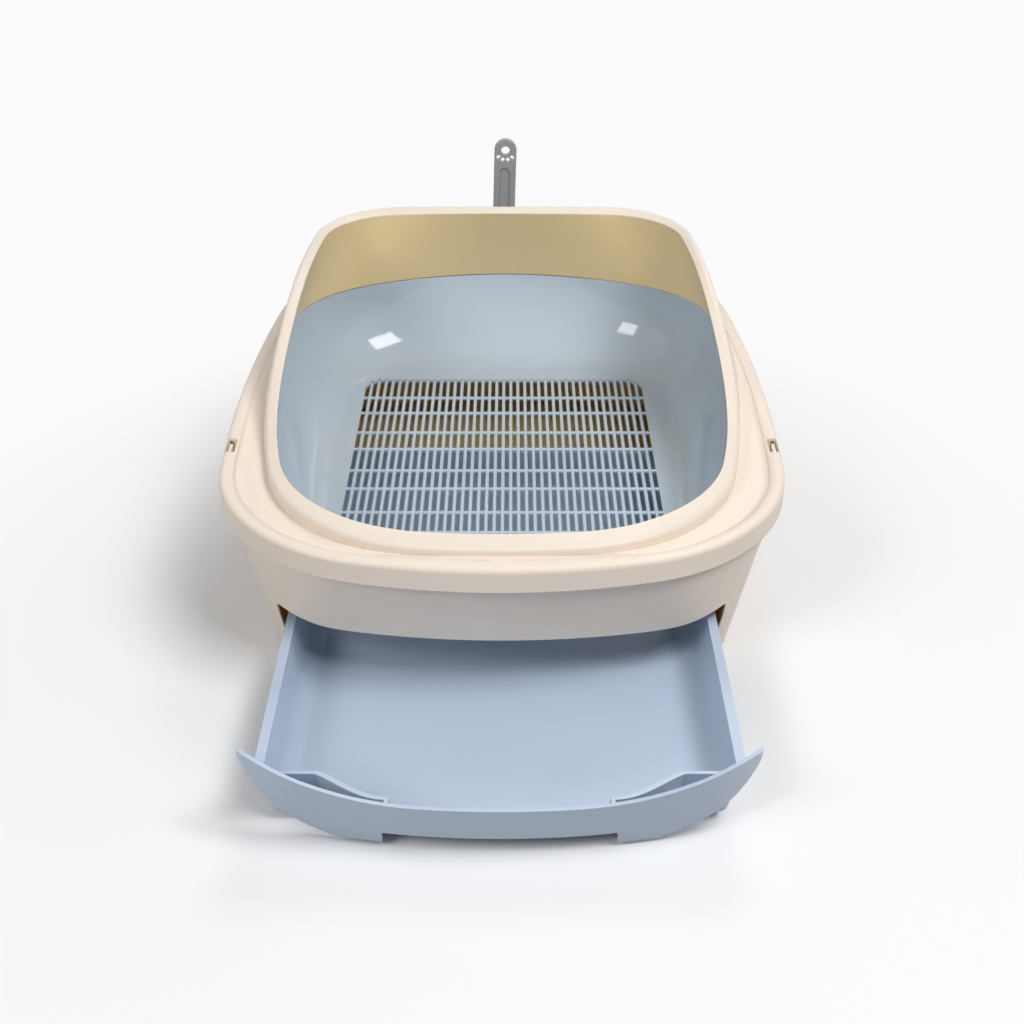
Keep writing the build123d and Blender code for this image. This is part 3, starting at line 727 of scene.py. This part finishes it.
def material_named(maker):
    """The material that a function makes, made once and then shared."""
    key = "litterbox_" + maker.__name__
    for material in bpy.data.materials:
        if material.get("maker") == key:
            return material
    material = maker(bpy.context.scene.litterbox_colours)
    material["maker"] = key
    return material


# What a user would change
def colour(name, description, value):
    """A colour setting."""
    return bpy.props.FloatVectorProperty(name=name, description=description, subtype="COLOR", size=3,
                                         min=0, max=1, default=linear(value))


def length(name, description, value):
    """A length setting, with its default in millimetres."""
    return bpy.props.FloatProperty(name=name, description=description, unit="LENGTH", precision=4,
                                   default=value * MM)


def power(name, description, value):
    """A setting for a lamp's power in watts."""
    return bpy.props.FloatProperty(name=name, description=description, unit="POWER", default=value)


class LitterBoxColours(bpy.types.PropertyGroup):
    """Colours of the pieces"""
    cream: colour("Cream", "Outside of the tub and the surround", "#F1E4D6")
    cream_shade: colour("Cream mottling", "Second colour of the flow marks in the cream", "#EEE0D1")
    # Painted glow: a golden cream on the inner side of the shells, in place of light coming through the
    # plastic
    cream_inside_painted_glow: colour("Cream inside", "Warmer cream on the inside of the shells", "#FADEAA")
    # Painted glow: a golden colour on the inner side of the tub, in place of light coming through its
    # thin wall
    tub_inside_painted_glow: colour("Tub inside", "Golden inside of the tub, seen through the grille", "#FFD898")
    blue: colour("Pan blue", "Gloss blue-grey of the sieve pan", "#BAC7D3")
    blue_shade: colour("Pan blue mottling", "Second colour of the pan", "#B4C2CE")
    drawer_blue: colour("Drawer blue", "Satin blue-grey of the drawer", "#BDCBDF")
    drawer_shade: colour("Drawer blue mottling", "Second colour of the drawer", "#B8C6D9")
    grey: colour("Scoop grey", "Grey of the scoop", "#9FA0A4")
    grey_shade: colour("Scoop grey mottling", "Second grey of the scoop", "#97999D")


class LitterBoxStage(bpy.types.PropertyGroup):
    """Floor, lamps, sky and lens"""
    floor_size: length("Floor size", "Side of the square floor", 9000.0)
    key_power: power("Key lamp", "Power of the lamp at the front right", 38.5)
    overhead_power: power("Overhead lamp", "Power of the soft lamp high up behind", 11.0)
    front_power: power("Front lamp", "Power of the small lamp at the front left", 18.0)
    sky: bpy.props.FloatProperty(
        name="Sky", description="Strength of the light that comes from all round", default=0.2)
    lens: bpy.props.FloatProperty(
        name="Lens", description="Focal length of the camera in millimetres", default=50.98)


class LitterBoxGrille(bpy.types.PropertyGroup):
    """Slots and bars of the grille"""
    slot_pitch: length("Slot pitch", "Distance from one slot to the next", 6.39)
    slot_width: length("Slot width", "Width of a slot", 3.5)
    bar_depth: length("Bar depth", "Depth of the long bars, which stand below the floor as ribs", 4.5)
    cross_bar: length("Cross bar", "Width of the bars between rows", 3.4)
    slots: bpy.props.IntProperty(name="Slots", description="Slots in a row", default=40, min=2)
    long_rows: bpy.props.IntProperty(name="Long rows", description="Rows of long slots", default=5, min=2)
    long_to_short: bpy.props.FloatProperty(
        name="Long to short", description="Length of a long slot over that of a short one",
        default=1.263)


# Geometry Nodes for the grille
SOCKET_KINDS = {int: "Int", float: "Float", tuple: "Vector", bpy.types.Material: "Material"}


def grille_tree(values):
    """Node tree that lays long bars and cross bars in a rounded frame, with an input for each value."""
    tree = bpy.data.node_groups.new("Sieve grille", "GeometryNodeTree")
    for name, value in values.items():
        kind = "NodeSocket" + SOCKET_KINDS[type(value)]
        tree.interface.new_socket(name, in_out="INPUT", socket_type=kind)
    tree.interface.new_socket("Geometry", in_out="OUTPUT", socket_type="NodeSocketGeometry")
    given = add_node(tree, "NodeGroupInput").outputs

    def add(kind, inputs, **properties):
        """Adds a node and gives its first output."""
        return add_node(tree, kind, inputs, **properties).outputs[0]

    def row(bar, first):
        """Copies of a straight bar of rounded section, side by side."""
        path = add("GeometryNodeCurvePrimitiveLine",
                   {"Start": given[bar + " start"], "End": given[bar + " end"]})
        section = add("GeometryNodeCurvePrimitiveQuadrilateral",
                      {"Width": given[bar + " width"], "Height": given[bar + " depth"]})
        rounded = add("GeometryNodeFilletCurve",
                      {"Curve": section, "Count": BAR_ROUND_STEPS, "Radius": BAR_ROUND * MM,
                       "Limit Radius": True}, mode="POLY")
        solid = add("GeometryNodeCurveToMesh",
                    {"Curve": path, "Profile Curve": rounded, "Fill Caps": True})
        line = add("GeometryNodeMeshLine",
                   {"Count": given[bar + " count"], "Start Location": given[first],
                    "Offset": given[bar + " step"]})
        return add("GeometryNodeInstanceOnPoints", {"Points": line, "Instance": solid})

    def edge(name):
        """Rounded rectangle."""
        shape = add("GeometryNodeCurvePrimitiveQuadrilateral",
                    {"Width": given[name + " width"], "Height": given[name + " depth"]})
        return add("GeometryNodeFilletCurve",
                   {"Curve": shape, "Count": FRAME_CORNER_STEPS, "Radius": given[name + " corner"]},
                   mode="POLY")

    rows = [row("Long bar", "First long bar"), row("Cross bar", "After long slots"),
            row("Cross bar", "After short slots")]
    loops = add("GeometryNodeJoinGeometry", {0: [edge("Frame"), edge("Opening")]})
    sheet = add("GeometryNodeFillCurve", {"Curve": loops})
    below = add("GeometryNodeExtrudeMesh",
                {"Mesh": sheet, "Offset": given["Frame drop"], "Individual": False}, mode="FACES")
    flipped = add("GeometryNodeFlipFaces", {"Mesh": below})
    both = add("GeometryNodeJoinGeometry", {0: [flipped, sheet]})
    moved = add("GeometryNodeTransform", {"Geometry": both, "Translation": given["Frame place"]})
    frame_ring = add("GeometryNodeMergeByDistance", {"Geometry": moved, "Distance": COARSE_WELD * MM})
    every = add("GeometryNodeJoinGeometry", {0: [*rows, frame_ring]})
    real = add("GeometryNodeRealizeInstances", {"Geometry": every})
    painted = add("GeometryNodeSetMaterial", {"Geometry": real, "Material": given["Material"]})
    add_node(tree, "NodeGroupOutput", {"Geometry": painted})
    return tree


# Operators, one for each piece and one for the stage
class LITTERBOX_OT_surround(bpy.types.Operator):
    """Builds the clip-on surround: skirt, groove, ridge and a rim that climbs to a high back"""
    bl_idname = "litterbox.surround"
    bl_label = "Surround"

    def execute(self, context):
        wall, wall_top = grown(OPENING, SHELL_WALL), grown(OPENING_TOP, SHELL_WALL)
        inside, inside_top = grown(RIM_BAND, -SHELL_WALL), grown(RIM_BAND_TOP, -SHELL_WALL)
        ridge_in = grown(SKIRT, -RIDGE_WIDTH)
        shelf = RIM_LOW - BAND_THICKNESS
        under_band = BAND_THICKNESS - BAND_STEP
        under_ridge = grown(SKIRT, SHELL_WALL - RIDGE_WIDTH)
        skirt_in = grown(SKIRT, -SKIRT_WALL)
        corners = [
            (ring(SKIRT, SKIRT_LOW), SKIRT_EDGE),
            (ring(SKIRT, RIDGE), RIDGE_ROUND),
            (ring(ridge_in, RIDGE), RIDGE_INNER_ROUND),
            (self.gutter(grown(SKIRT, -RIDGE_WIDTH - GUTTER_WIDTH), 0), GUTTER_ROUND),
            (self.gutter(RIM_BAND, 0), WALL_FOOT_ROUND),
            (self.gutter(RIM_BAND, UPRIGHT_SHARE), UPRIGHT_ROUND),
            (rim_ring(RIM_BAND, RIM_BAND_TOP, BAND_FALL, lift=BAND_LIFT), BAND_ROUND),
            (rim_ring(OPENING, OPENING_TOP, 0), RIM_ROUND),
            (rim_ring(OPENING, OPENING_TOP, INNER_RIM_SHARE * BAND_THICKNESS, PAINTED_GLOW_SIDE), 0),
            (ring(OPENING, shelf, PAINTED_GLOW_SIDE), SHELF_EDGE),
            (ring(wall, shelf, PAINTED_GLOW_SIDE), 0),
            (rim_ring(wall, wall_top, under_band, PAINTED_GLOW_SIDE), 0),
            (rim_ring(inside, inside_top, under_band, PAINTED_GLOW_SIDE), 0),
            (ring(inside, GROOVE - SHELL_WALL, PAINTED_GLOW_SIDE), 0),
            (ring(under_ridge, GROOVE - SHELL_WALL, PAINTED_GLOW_SIDE), 0),
            (ring(under_ridge, RIDGE - SHELL_WALL, PAINTED_GLOW_SIDE), 0),
            (ring(skirt_in, RIDGE - SHELL_WALL, PAINTED_GLOW_SIDE), 0),
            (ring(skirt_in, SKIRT_LOW), EDGE),
        ]
        piece = swept("surround_shell", corners)
        for side in (-1, 1):
            for low, high in (self.window(side), self.hook_slot(side)):
                cut(piece, place("opening", block_mesh(low, high)))
        shade(piece, SHELL_SHARP)
        finish_piece(piece, cream_polypropylene, "surround", "cream_shell", "surround")
        return {"FINISHED"}

    def gutter(self, plan, rise_share):
        """Outline on the gutter's floor, or part of the way up the rim's wall from it.

        The floor comes up almost level with the ridge at the middle of the front and at the back."""
        points = ring(plan, GROOVE)
        near, far = GUTTER_SIDE_FADE
        across = np.clip((np.abs(points[:, 0]) - near) / (far - near), 0, 1)
        start, end = GUTTER_BACK_FADE
        behind = np.clip((start - points[:, 1]) / (start - end), 0, 1)
        share = np.where(points[:, 1] < GUTTER_FRONT, across, behind)
        depth = RIDGE - GROOVE - GUTTER_LEAST_DEPTH
        floor = RIDGE - GUTTER_LEAST_DEPTH - depth * share * share * (3 - 2 * share)
        points[:, 2] = floor + (RIM_LOW - BAND_FALL - floor) * rise_share
        return points

    def window(self, side):
        """Limits of the snap window in the ridge on one side."""
        outside = half_at(SKIRT, WINDOW_AT) - WINDOW_EDGE
        return mirrored_limits(side, outside - WINDOW_WIDTH, outside,
                               WINDOW_AT - WINDOW_HALF_LENGTH, WINDOW_AT + WINDOW_HALF_LENGTH,
                               GROOVE - SHELL_WALL - OVERRUN, RIDGE + OVERRUN)

    def hook_slot(self, side):
        """Limits of the slot in the back of the skirt that takes a hook of the scoop's holder."""
        return mirrored_limits(side, HOOK_AT - HOOK_HALF, HOOK_AT + HOOK_HALF,
                               SKIRT_REACH - RIDGE_WIDTH, SKIRT_REACH + OVERRUN,
                               SKIRT_LOW + HOOK_LOW, SKIRT_LOW + HOOK_HIGH)


class LITTERBOX_OT_tub(bpy.types.Operator):
    """Builds the tapered tub with its doorway, ledge, floor and foot ring"""
    bl_idname = "litterbox.tub"
    bl_label = "Tub"

    def execute(self, context):
        ledge_out = grown(SKIRT, -SKIRT_WALL - LEDGE_TO_SKIRT)
        ledge_in = grown(FLANGE, -SHELL_WALL - FLANGE_GAP)
        under = LEDGE_TOP - LEDGE_THICKNESS
        foot_in = tub_plan(0, -FOOT_ROUND - FOOT_RING)
        corners = [
            (ring(foot_in, UNDERSIDE), 0),
            (ring(foot_in, 0), 0),
            (ring(tub_plan(0, 0), 0), FOOT_ROUND),
            (ring(SHOULDER, TUB_HEIGHT), SHOULDER_ROUND),
            (ring(SHOULDER, under), FINE_EDGE),
            (ring(ledge_out, under), EDGE),
            (ring(ledge_out, LEDGE_TOP), EDGE),
            (ring(ledge_in, LEDGE_TOP), EDGE),
            (ring(ledge_in, under, PAINTED_GLOW_SIDE), FINE_EDGE),
            (ring(grown(SHOULDER, -TUB_WALL), under, PAINTED_GLOW_SIDE), EDGE),
            (ring(tub_plan(TUB_HEIGHT, -TUB_WALL), TUB_HEIGHT, PAINTED_GLOW_SIDE), SHOULDER_ROUND),
            (ring(tub_plan(TUB_FLOOR, -TUB_WALL), TUB_FLOOR, PAINTED_GLOW_SIDE), FLOOR_ROUND),
            (ring(tub_plan(TUB_FLOOR, -TUB_WALL - FLOOR_RUN), TUB_FLOOR, PAINTED_GLOW_SIDE), 0),
        ]
        piece = swept("tub_shell", corners, closed=False)
        cut(piece, self.doorway())
        add_blocks(piece, self.cross_ribs() + self.tongues(under), 0.0)
        add_blocks(piece, self.runners(), PAINTED_GLOW_SIDE)
        shade(piece, TUB_SHARP)
        finish_piece(piece, translucent_polypropylene, "base", "cream_shell", "base_tub")
        return {"FINISHED"}

    def cross_ribs(self):
        """Limits of the two ribs that cross under the floor."""
        half, across, along = CROSS_RIB_HALF, FOOT.half - CROSS_RIB_INSET, FOOT.back - CROSS_RIB_INSET
        top = UNDERSIDE + CROSS_RIB_SINK
        return [((-across, -half, 0), (across, half, top)),
                ((-half, CROSS_RIB_INSET - FOOT.front, BLOCK_STEP), (half, along, top))]

    def tongues(self, under):
        """Limits of the snap tongues that stand in the surround's windows, and of their roots."""
        outside = half_at(SKIRT, WINDOW_AT) - SKIRT_WALL - TONGUE_GAP
        inside = outside - TONGUE_THICKNESS
        near, far = WINDOW_AT - TONGUE_HALF, WINDOW_AT + TONGUE_HALF
        limits = []
        for side in (-1, 1):
            limits.append(mirrored_limits(side, inside, outside, near, far,
                                          under, LEDGE_TOP + TONGUE_HEIGHT))
            limits.append(mirrored_limits(side, outside - TONGUE_ROOT, inside + TONGUE_JOIN, near, far,
                                          under, LEDGE_TOP - BLOCK_STEP))
        return limits

    def runners(self):
        """Limits of the two low ribs on the floor that the drawer slides on."""
        front, back = RUNNER_INSETS
        return [mirrored_limits(side, RUNNER_NEAR, RUNNER_FAR, front - FOOT.front, FOOT.back - back,
                                TUB_FLOOR - RUNNER_SINK, TUB_FLOOR + RUNNER_HEIGHT) for side in (-1, 1)]

    def doorway(self):
        """Prism that cuts the doorway, with its flared top corners rounded."""
        tray_half = FOOT.half - TRAY_INSET
        right = [(tray_half + DOORWAY_LOW_OUT, TUB_FLOOR),
                 (tray_half + DOORWAY_WAIST_OUT, DOORWAY_TOP - DOORWAY_WAIST_DROP),
                 (tray_half + DOORWAY_TIP_OUT, DOORWAY_TOP + DOORWAY_TIP_RISE),
                 (tray_half - DOORWAY_FLAT_IN, DOORWAY_TOP)]
        corners = [np.array([[x, 0.0, z, 0.0]]) for x, z in right]
        corners += [np.array([[-x, 0.0, z, 0.0]]) for x, z in reversed(right)]
        rounds = DOORWAY_ROUNDS + DOORWAY_ROUNDS[::-1]
        loop = rounded_sections(corners, rounds, True, DOORWAY_ROUND_STEPS)[0]
        mesh = bpy.data.meshes.new("doorway")
        count = len(loop)
        ends = (-SKIRT_REACH - DOORWAY_OVERRUN, -SKIRT_REACH / 2)
        verts = [(x * MM, y * MM, z * MM) for y in ends for x, _, z, _ in loop]
        faces = [(n, (n + 1) % count, count + (n + 1) % count, count + n) for n in range(count)]
        faces += [list(range(count))[::-1], list(range(count, 2 * count))]
        mesh.from_pydata(verts, [], faces)
        cleaned(mesh, COARSE_WELD)
        return place("doorway", mesh)


class LITTERBOX_OT_pan(bpy.types.Operator):
    """Builds the sieve pan: flange, turned-down lip and a bowl that rounds into its floor"""
    bl_idname = "litterbox.pan"
    bl_label = "Sieve pan"

    def execute(self, context):
        lip = LEDGE_TOP + PAN_GAP
        flange_in = grown(FLANGE, -SHELL_WALL)
        rows = [(ring(FLANGE, lip), EDGE), (ring(FLANGE, PAN_TOP), FLANGE_ROUND),
                (ring(PAN_MOUTH, PAN_TOP), MOUTH_ROUND)]
        rows += [(self.bowl(step, 0, 0), 0) for step in range(BOWL_FIRST, BOWL_STEPS + 1)]
        inner = self.grille_edge(PAN_FLOOR)
        rows += [(inner, 0), (inner - (0, 0, SHELL_WALL, 0), 0)]
        rows += [(self.bowl(step, SHELL_WALL, SHELL_WALL), 0)
                 for step in range(BOWL_STEPS, BOWL_FIRST - 1, -1)]
        rows += [(ring(grown(PAN_MOUTH, SHELL_WALL), PAN_TOP - SHELL_WALL), EDGE),
                 (ring(flange_in, PAN_TOP - SHELL_WALL), EDGE), (ring(flange_in, lip), EDGE)]
        piece = swept("pan_shell", rows)
        shade(piece, PAN_SHARP)
        finish_piece(piece, blue_polypropylene, "pan", "blue_grey_tray", "sieve_pan")
        return {"FINISHED"}

    def bowl(self, step, by, drop):
        """One level of the bowl, from its mouth down to its floor."""
        angle = (pi / 2) * step / BOWL_STEPS
        share = BOWL_DRAFT_SHARE * sin(angle) + (1 - BOWL_DRAFT_SHARE) * (1 - cos(angle))
        height = PAN_TOP - (PAN_TOP - PAN_FLOOR) * sin(angle) - drop * sin(angle)
        return ring(grown(between(PAN_MOUTH, PAN_BOTTOM, share), by), height)

    def grille_edge(self, height):
        """Rounded rectangle round the grille, with a point for each point of the outlines."""
        rim = outline(PAN_BOTTOM)
        middle = (GRILLE_FRONT + GRILLE_BACK) / 2
        half = np.array((GRILLE_HALF, (GRILLE_BACK - GRILLE_FRONT) / 2))
        corner = GRILLE_CORNER + GRILLE_MARGIN
        core = half - corner
        centre = (0, (PAN_BOTTOM.back - PAN_BOTTOM.front) / 2)
        toward = (rim - centre) / (PAN_BOTTOM.half, (PAN_BOTTOM.front + PAN_BOTTOM.back) / 2)
        toward /= np.abs(toward).max(axis=1, keepdims=True)
        point = toward * half
        nearest = np.clip(point, -core, core)
        away = point - nearest
        distance = np.maximum(np.linalg.norm(away, axis=1, keepdims=True), TINY)
        point = nearest + away / distance * corner
        flat = point + (0, middle)
        return np.column_stack((flat, np.full(len(flat), height), np.zeros(len(flat))))


class LITTERBOX_OT_grille(bpy.types.Operator):
    """Lays the slotted grille in the pan's floor with a node tree"""
    bl_idname = "litterbox.grille"
    bl_label = "Grille"

    def execute(self, context):
        values = self.values(context.scene.litterbox_grille)
        piece = place("pan_grille", bpy.data.meshes.new("pan_grille"))
        change = piece.modifiers.new("Grille", "NODES")
        change.node_group = grille_tree(values)
        for item in change.node_group.interface.items_tree:
            if item.in_out == "INPUT":
                change[item.identifier] = values[item.name]
        baked(piece)
        shade(piece, PAN_SHARP)
        finish_piece(piece, blue_polypropylene, "pan", "blue_grey_tray", "sieve_grille")
        return {"FINISHED"}

    def values(self, settings):
        """Inputs of the node tree in metres.

        Rows of long and short slots take turns, and the first and the last row are long."""
        half, front, back, top, thickness, margin, corner = (float(size) * MM for size in (
            GRILLE_HALF, GRILLE_FRONT, GRILLE_BACK, PAN_FLOOR, SHELL_WALL, GRILLE_MARGIN, GRILLE_CORNER))
        pitch, cross, bars = settings.slot_pitch, settings.cross_bar, settings.slots - 1
        slots_depth = back - front - 2 * margin
        free = slots_depth - 2 * (settings.long_rows - 1) * cross
        short_slot = free / (settings.long_rows * settings.long_to_short + settings.long_rows - 1)
        long_slot = short_slot * settings.long_to_short
        after_long = back - margin - long_slot - cross / 2
        cross_height = top - thickness / 2 - CROSS_BAR_SINK * MM
        return {
            "Long bar count": bars,
            "Long bar width": pitch - settings.slot_width,
            "Long bar depth": settings.bar_depth,
            "Long bar start": (0.0, front + margin / 2, 0.0),
            "Long bar end": (0.0, back - margin / 2, 0.0),
            "Long bar step": (pitch, 0.0, 0.0),
            "First long bar": (-(bars - 1) * pitch / 2, 0.0, top - settings.bar_depth / 2),
            "Cross bar count": settings.long_rows - 1,
            "Cross bar width": cross,
            "Cross bar depth": thickness,
            "Cross bar start": (margin / 2 - half, 0.0, 0.0),
            "Cross bar end": (half - margin / 2, 0.0, 0.0),
            "Cross bar step": (0.0, -long_slot - short_slot - 2 * cross, 0.0),
            "After long slots": (0.0, after_long, cross_height),
            "After short slots": (0.0, after_long - short_slot - cross, cross_height),
            "Frame width": 2 * half,
            "Frame depth": back - front,
            "Frame corner": corner + margin,
            "Opening width": 2 * half - 2 * margin,
            "Opening depth": slots_depth,
            "Opening corner": corner,
            "Frame drop": (0.0, 0.0, -thickness),
            "Frame place": (0.0, (front + back) / 2, top),
            "Material": material_named(blue_polypropylene),
        }


class LITTERBOX_OT_drawer(bpy.types.Operator):
    """Builds the pull-out drawer with its bowed front panel"""
    bl_idname = "litterbox.drawer"
    bl_label = "Drawer"

    def execute(self, context):
        piece = merged_copy("drawer_tray", "drawer")
        soft = piece.modifiers.new("Soft edges", "BEVEL")
        soft.width = EDGE * MM
        soft.segments = 2
        soft.limit_method = "ANGLE"
        soft.angle_limit = radians(BEVEL_ANGLE)
        baked(piece)
        evened(piece)
        finish_piece(piece, drawer_polypropylene, "drawer", "blue_grey_tray", "drawer")
        return {"FINISHED"}


class LITTERBOX_OT_scoop(bpy.types.Operator):
    """Builds the slotted scoop that stands in the holder"""
    bl_idname = "litterbox.scoop"
    bl_label = "Scoop"

    def execute(self, context):
        piece = merged_copy("litter_scoop", "scoop")
        cut(piece, self.toe_holes(piece.data))
        evened(piece)
        finish_piece(piece, grey_polypropylene, "scoop", "grey_scoop", "scoop")
        return {"FINISHED"}

    def toe_holes(self, mesh):
        """Oval pins that open the four small holes under the hanging hole to their full size."""
        height = scoop_high[2] - HANDLE_HALF
        crown = [vert.co.x / MM for vert in mesh.vertices if vert.co.z / MM > height]
        centre = Vector(((min(crown) + max(crown)) / 2, (scoop_low[1] + scoop_high[1]) / 2, height))
        pins = bpy.data.meshes.new("toe_holes")
        bm = bmesh.new()
        for angle in TOE_ANGLES:
            turn = radians(angle - SCOOP_LEAN)
            outwards = Vector((sin(turn), 0, -cos(turn)))
            sideways = Vector((cos(turn), 0, sin(turn)))
            axes = Matrix((sideways * TOE_HALF[0], outwards * TOE_HALF[1], (0, 1, 0))).transposed()
            where = Matrix.Translation(centre + outwards * TOE_RING) @ axes.to_4x4()
            bmesh.ops.create_cone(bm, cap_ends=True, segments=TOE_PIN_SIDES, radius1=1, radius2=1,
                                  depth=TOE_PIN_LENGTH, matrix=Matrix.Scale(MM, 4) @ where)
        bm.to_mesh(pins)
        bm.free()
        return place("toe_holes", pins)


class LITTERBOX_OT_holder(bpy.types.Operator):
    """Builds the scoop's holder, hooked on the back of the skirt"""
    bl_idname = "litterbox.holder"
    bl_label = "Scoop holder"

    def execute(self, context):
        piece = merged_copy("scoop_pocket", "scoop_holder")
        evened(piece)
        finish_piece(piece, cream_polypropylene, "surround", "cream_shell", "scoop_holder")
        return {"FINISHED"}


class LITTERBOX_OT_stage(bpy.types.Operator):
    """Sets the floor, the soft lamps, the sky and the camera"""
    bl_idname = "litterbox.stage"
    bl_label = "Stage"

    def execute(self, context):
        stage = context.scene.litterbox_stage
        self.floor(stage.floor_size)
        self.lamp("key", *KEY_LAMP, stage.key_power)
        self.lamp("front", *FRONT_LAMP, stage.front_power)
        self.lamp("overhead", *OVERHEAD_LAMP, stage.overhead_power)
        self.sky(context.scene, stage.sky)
        self.camera(context.scene, stage.lens)
        context.scene.view_settings.view_transform = "Standard"
        return {"FINISHED"}

    def floor(self, size):
        """Pale paper that keeps the shadow near the object and turns white further away.

        It throws back less light than it seems to, so that it hardly lights the object from
        below."""
        mesh = bpy.data.meshes.new("floor")
        half = size / 2
        low = -FLOOR_DROP * MM
        corners = [(-half, -half, low), (half, -half, low), (half, half, low), (-half, half, low)]
        mesh.from_pydata(corners, [], [(0, 1, 2, 3)])
        piece = place("floor", mesh)
        material, tree = new_material("Pale matt paper")
        seen = self.seen_rays(tree)
        tone = add_node(tree, "ShaderNodeMix", {0: seen, 6: (*linear(PAPER_THROWN), 1),
                                                7: (*linear(PAPER_SEEN), 1)}, data_type="RGBA")
        paper = add_node(tree, "ShaderNodeBsdfDiffuse", {"Color": tone.outputs[2]})
        white = add_node(tree, "ShaderNodeEmission", {"Color": (*linear(WHITE), 1)})
        where = add_node(tree, "ShaderNodeTexCoord").outputs["Object"]
        ahead = add_node(tree, "ShaderNodeMapping", {"Vector": where, "Location": (0, SHADOW_CENTRE, 0),
                                                     "Scale": (1, SHADOW_DEPTH, 1)})
        away = add_node(tree, "ShaderNodeVectorMath", {0: ahead.outputs[0]}, operation="LENGTH")
        near, clear = SHADOW_REACH
        far = add_node(tree, "ShaderNodeMapRange",
                       {"Value": away.outputs["Value"], "From Min": near, "From Max": clear},
                       interpolation_type="SMOOTHSTEP")
        share = add_node(tree, "ShaderNodeMath", {0: seen, 1: far.outputs["Result"]},
                         operation="MULTIPLY")
        mix = add_node(tree, "ShaderNodeMixShader",
                       {0: share.outputs[0], 1: paper.outputs[0], 2: white.outputs[0]})
        add_node(tree, "ShaderNodeOutputMaterial", {"Surface": mix.outputs[0]})
        mesh.materials.append(material)

    def seen_rays(self, tree):
        """1 for camera, glossy and transmission rays, which see the white background."""
        path = add_node(tree, "ShaderNodeLightPath").outputs
        seen = path["Is Camera Ray"]
        for kind in ("Is Glossy Ray", "Is Transmission Ray"):
            seen = add_node(tree, "ShaderNodeMath", {0: seen, 1: path[kind]},
                            operation="MAXIMUM").outputs[0]
        return seen

    def lamp(self, name, position, size, watts):
        """A soft rectangular lamp that faces the object."""
        light = bpy.data.lights.new(name, "AREA")
        light.shape = "RECTANGLE"
        light.size, light.size_y = size
        light.energy = watts
        lamp = bpy.data.objects.new(name, light)
        lamp.location = position
        aim = Vector(LAMP_TARGET) - Vector(position)
        lamp.rotation_euler = aim.to_track_quat("-Z", "Y").to_euler()
        bpy.context.scene.collection.objects.link(lamp)

    def sky(self, scene, strength):
        """Faint light from all round, with plain white where the camera or a reflection sees it."""
        world = bpy.data.worlds.new("Soft sky")
        scene.world = world
        world.use_nodes = True
        tree = world.node_tree
        tree.nodes.clear()
        sky = add_node(tree, "ShaderNodeBackground", {"Color": (*linear(SKY), 1), "Strength": strength})
        white = add_node(tree, "ShaderNodeBackground", {"Color": (*linear(WHITE), 1), "Strength": 1.0})
        mix = add_node(tree, "ShaderNodeMixShader",
                       {0: self.seen_rays(tree), 1: sky.outputs[0], 2: white.outputs[0]})
        add_node(tree, "ShaderNodeOutputWorld", {"Surface": mix.outputs[0]})

    def camera(self, scene, lens):
        """Camera at the photo's place, looking straight back and down."""
        data = bpy.data.cameras.new("view")
        data.lens = lens
        data.sensor_width = SENSOR_WIDTH
        view = bpy.data.objects.new("view", data)
        view.location = [value * MM for value in CAMERA_AT]
        view.rotation_euler = (radians(90 - CAMERA_TILT), 0, 0)
        scene.collection.objects.link(view)
        scene.camera = view


# The order in which the panel lists the operators and main calls them
PIECES = (LITTERBOX_OT_tub, LITTERBOX_OT_surround, LITTERBOX_OT_pan, LITTERBOX_OT_grille,
          LITTERBOX_OT_drawer, LITTERBOX_OT_scoop, LITTERBOX_OT_holder, LITTERBOX_OT_stage)


class LITTERBOX_PT_panel(bpy.types.Panel):
    """Lists the pieces of the litter box and their settings"""
    bl_idname = "LITTERBOX_PT_panel"
    bl_label = "Litter Box"
    bl_space_type = "VIEW_3D"
    bl_region_type = "UI"
    bl_category = "Litter Box"

    def draw(self, context):
        for kind in PIECES:
            self.layout.operator(kind.bl_idname)
        for group in (context.scene.litterbox_colours, context.scene.litterbox_grille,
                      context.scene.litterbox_stage):
            column = self.layout.column()
            for name in group.__annotations__:
                column.prop(group, name)


CLASSES = (LitterBoxColours, LitterBoxGrille, LitterBoxStage, *PIECES, LITTERBOX_PT_panel)


def register():
    """Adds the classes and their settings to Blender."""
    for kind in CLASSES:
        bpy.utils.register_class(kind)
    bpy.types.Scene.litterbox_colours = bpy.props.PointerProperty(type=LitterBoxColours)
    bpy.types.Scene.litterbox_grille = bpy.props.PointerProperty(type=LitterBoxGrille)
    bpy.types.Scene.litterbox_stage = bpy.props.PointerProperty(type=LitterBoxStage)


def unregister():
    """Takes them out again."""
    del bpy.types.Scene.litterbox_colours
    del bpy.types.Scene.litterbox_grille
    del bpy.types.Scene.litterbox_stage
    for kind in reversed(CLASSES):
        bpy.utils.unregister_class(kind)


def main():
    """Builds every piece and the stage."""
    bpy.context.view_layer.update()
    register()
    for kind in PIECES:
        group, name = kind.bl_idname.split(".")
        getattr(getattr(bpy.ops, group), name)()


if __name__ == "__main__":
    main()
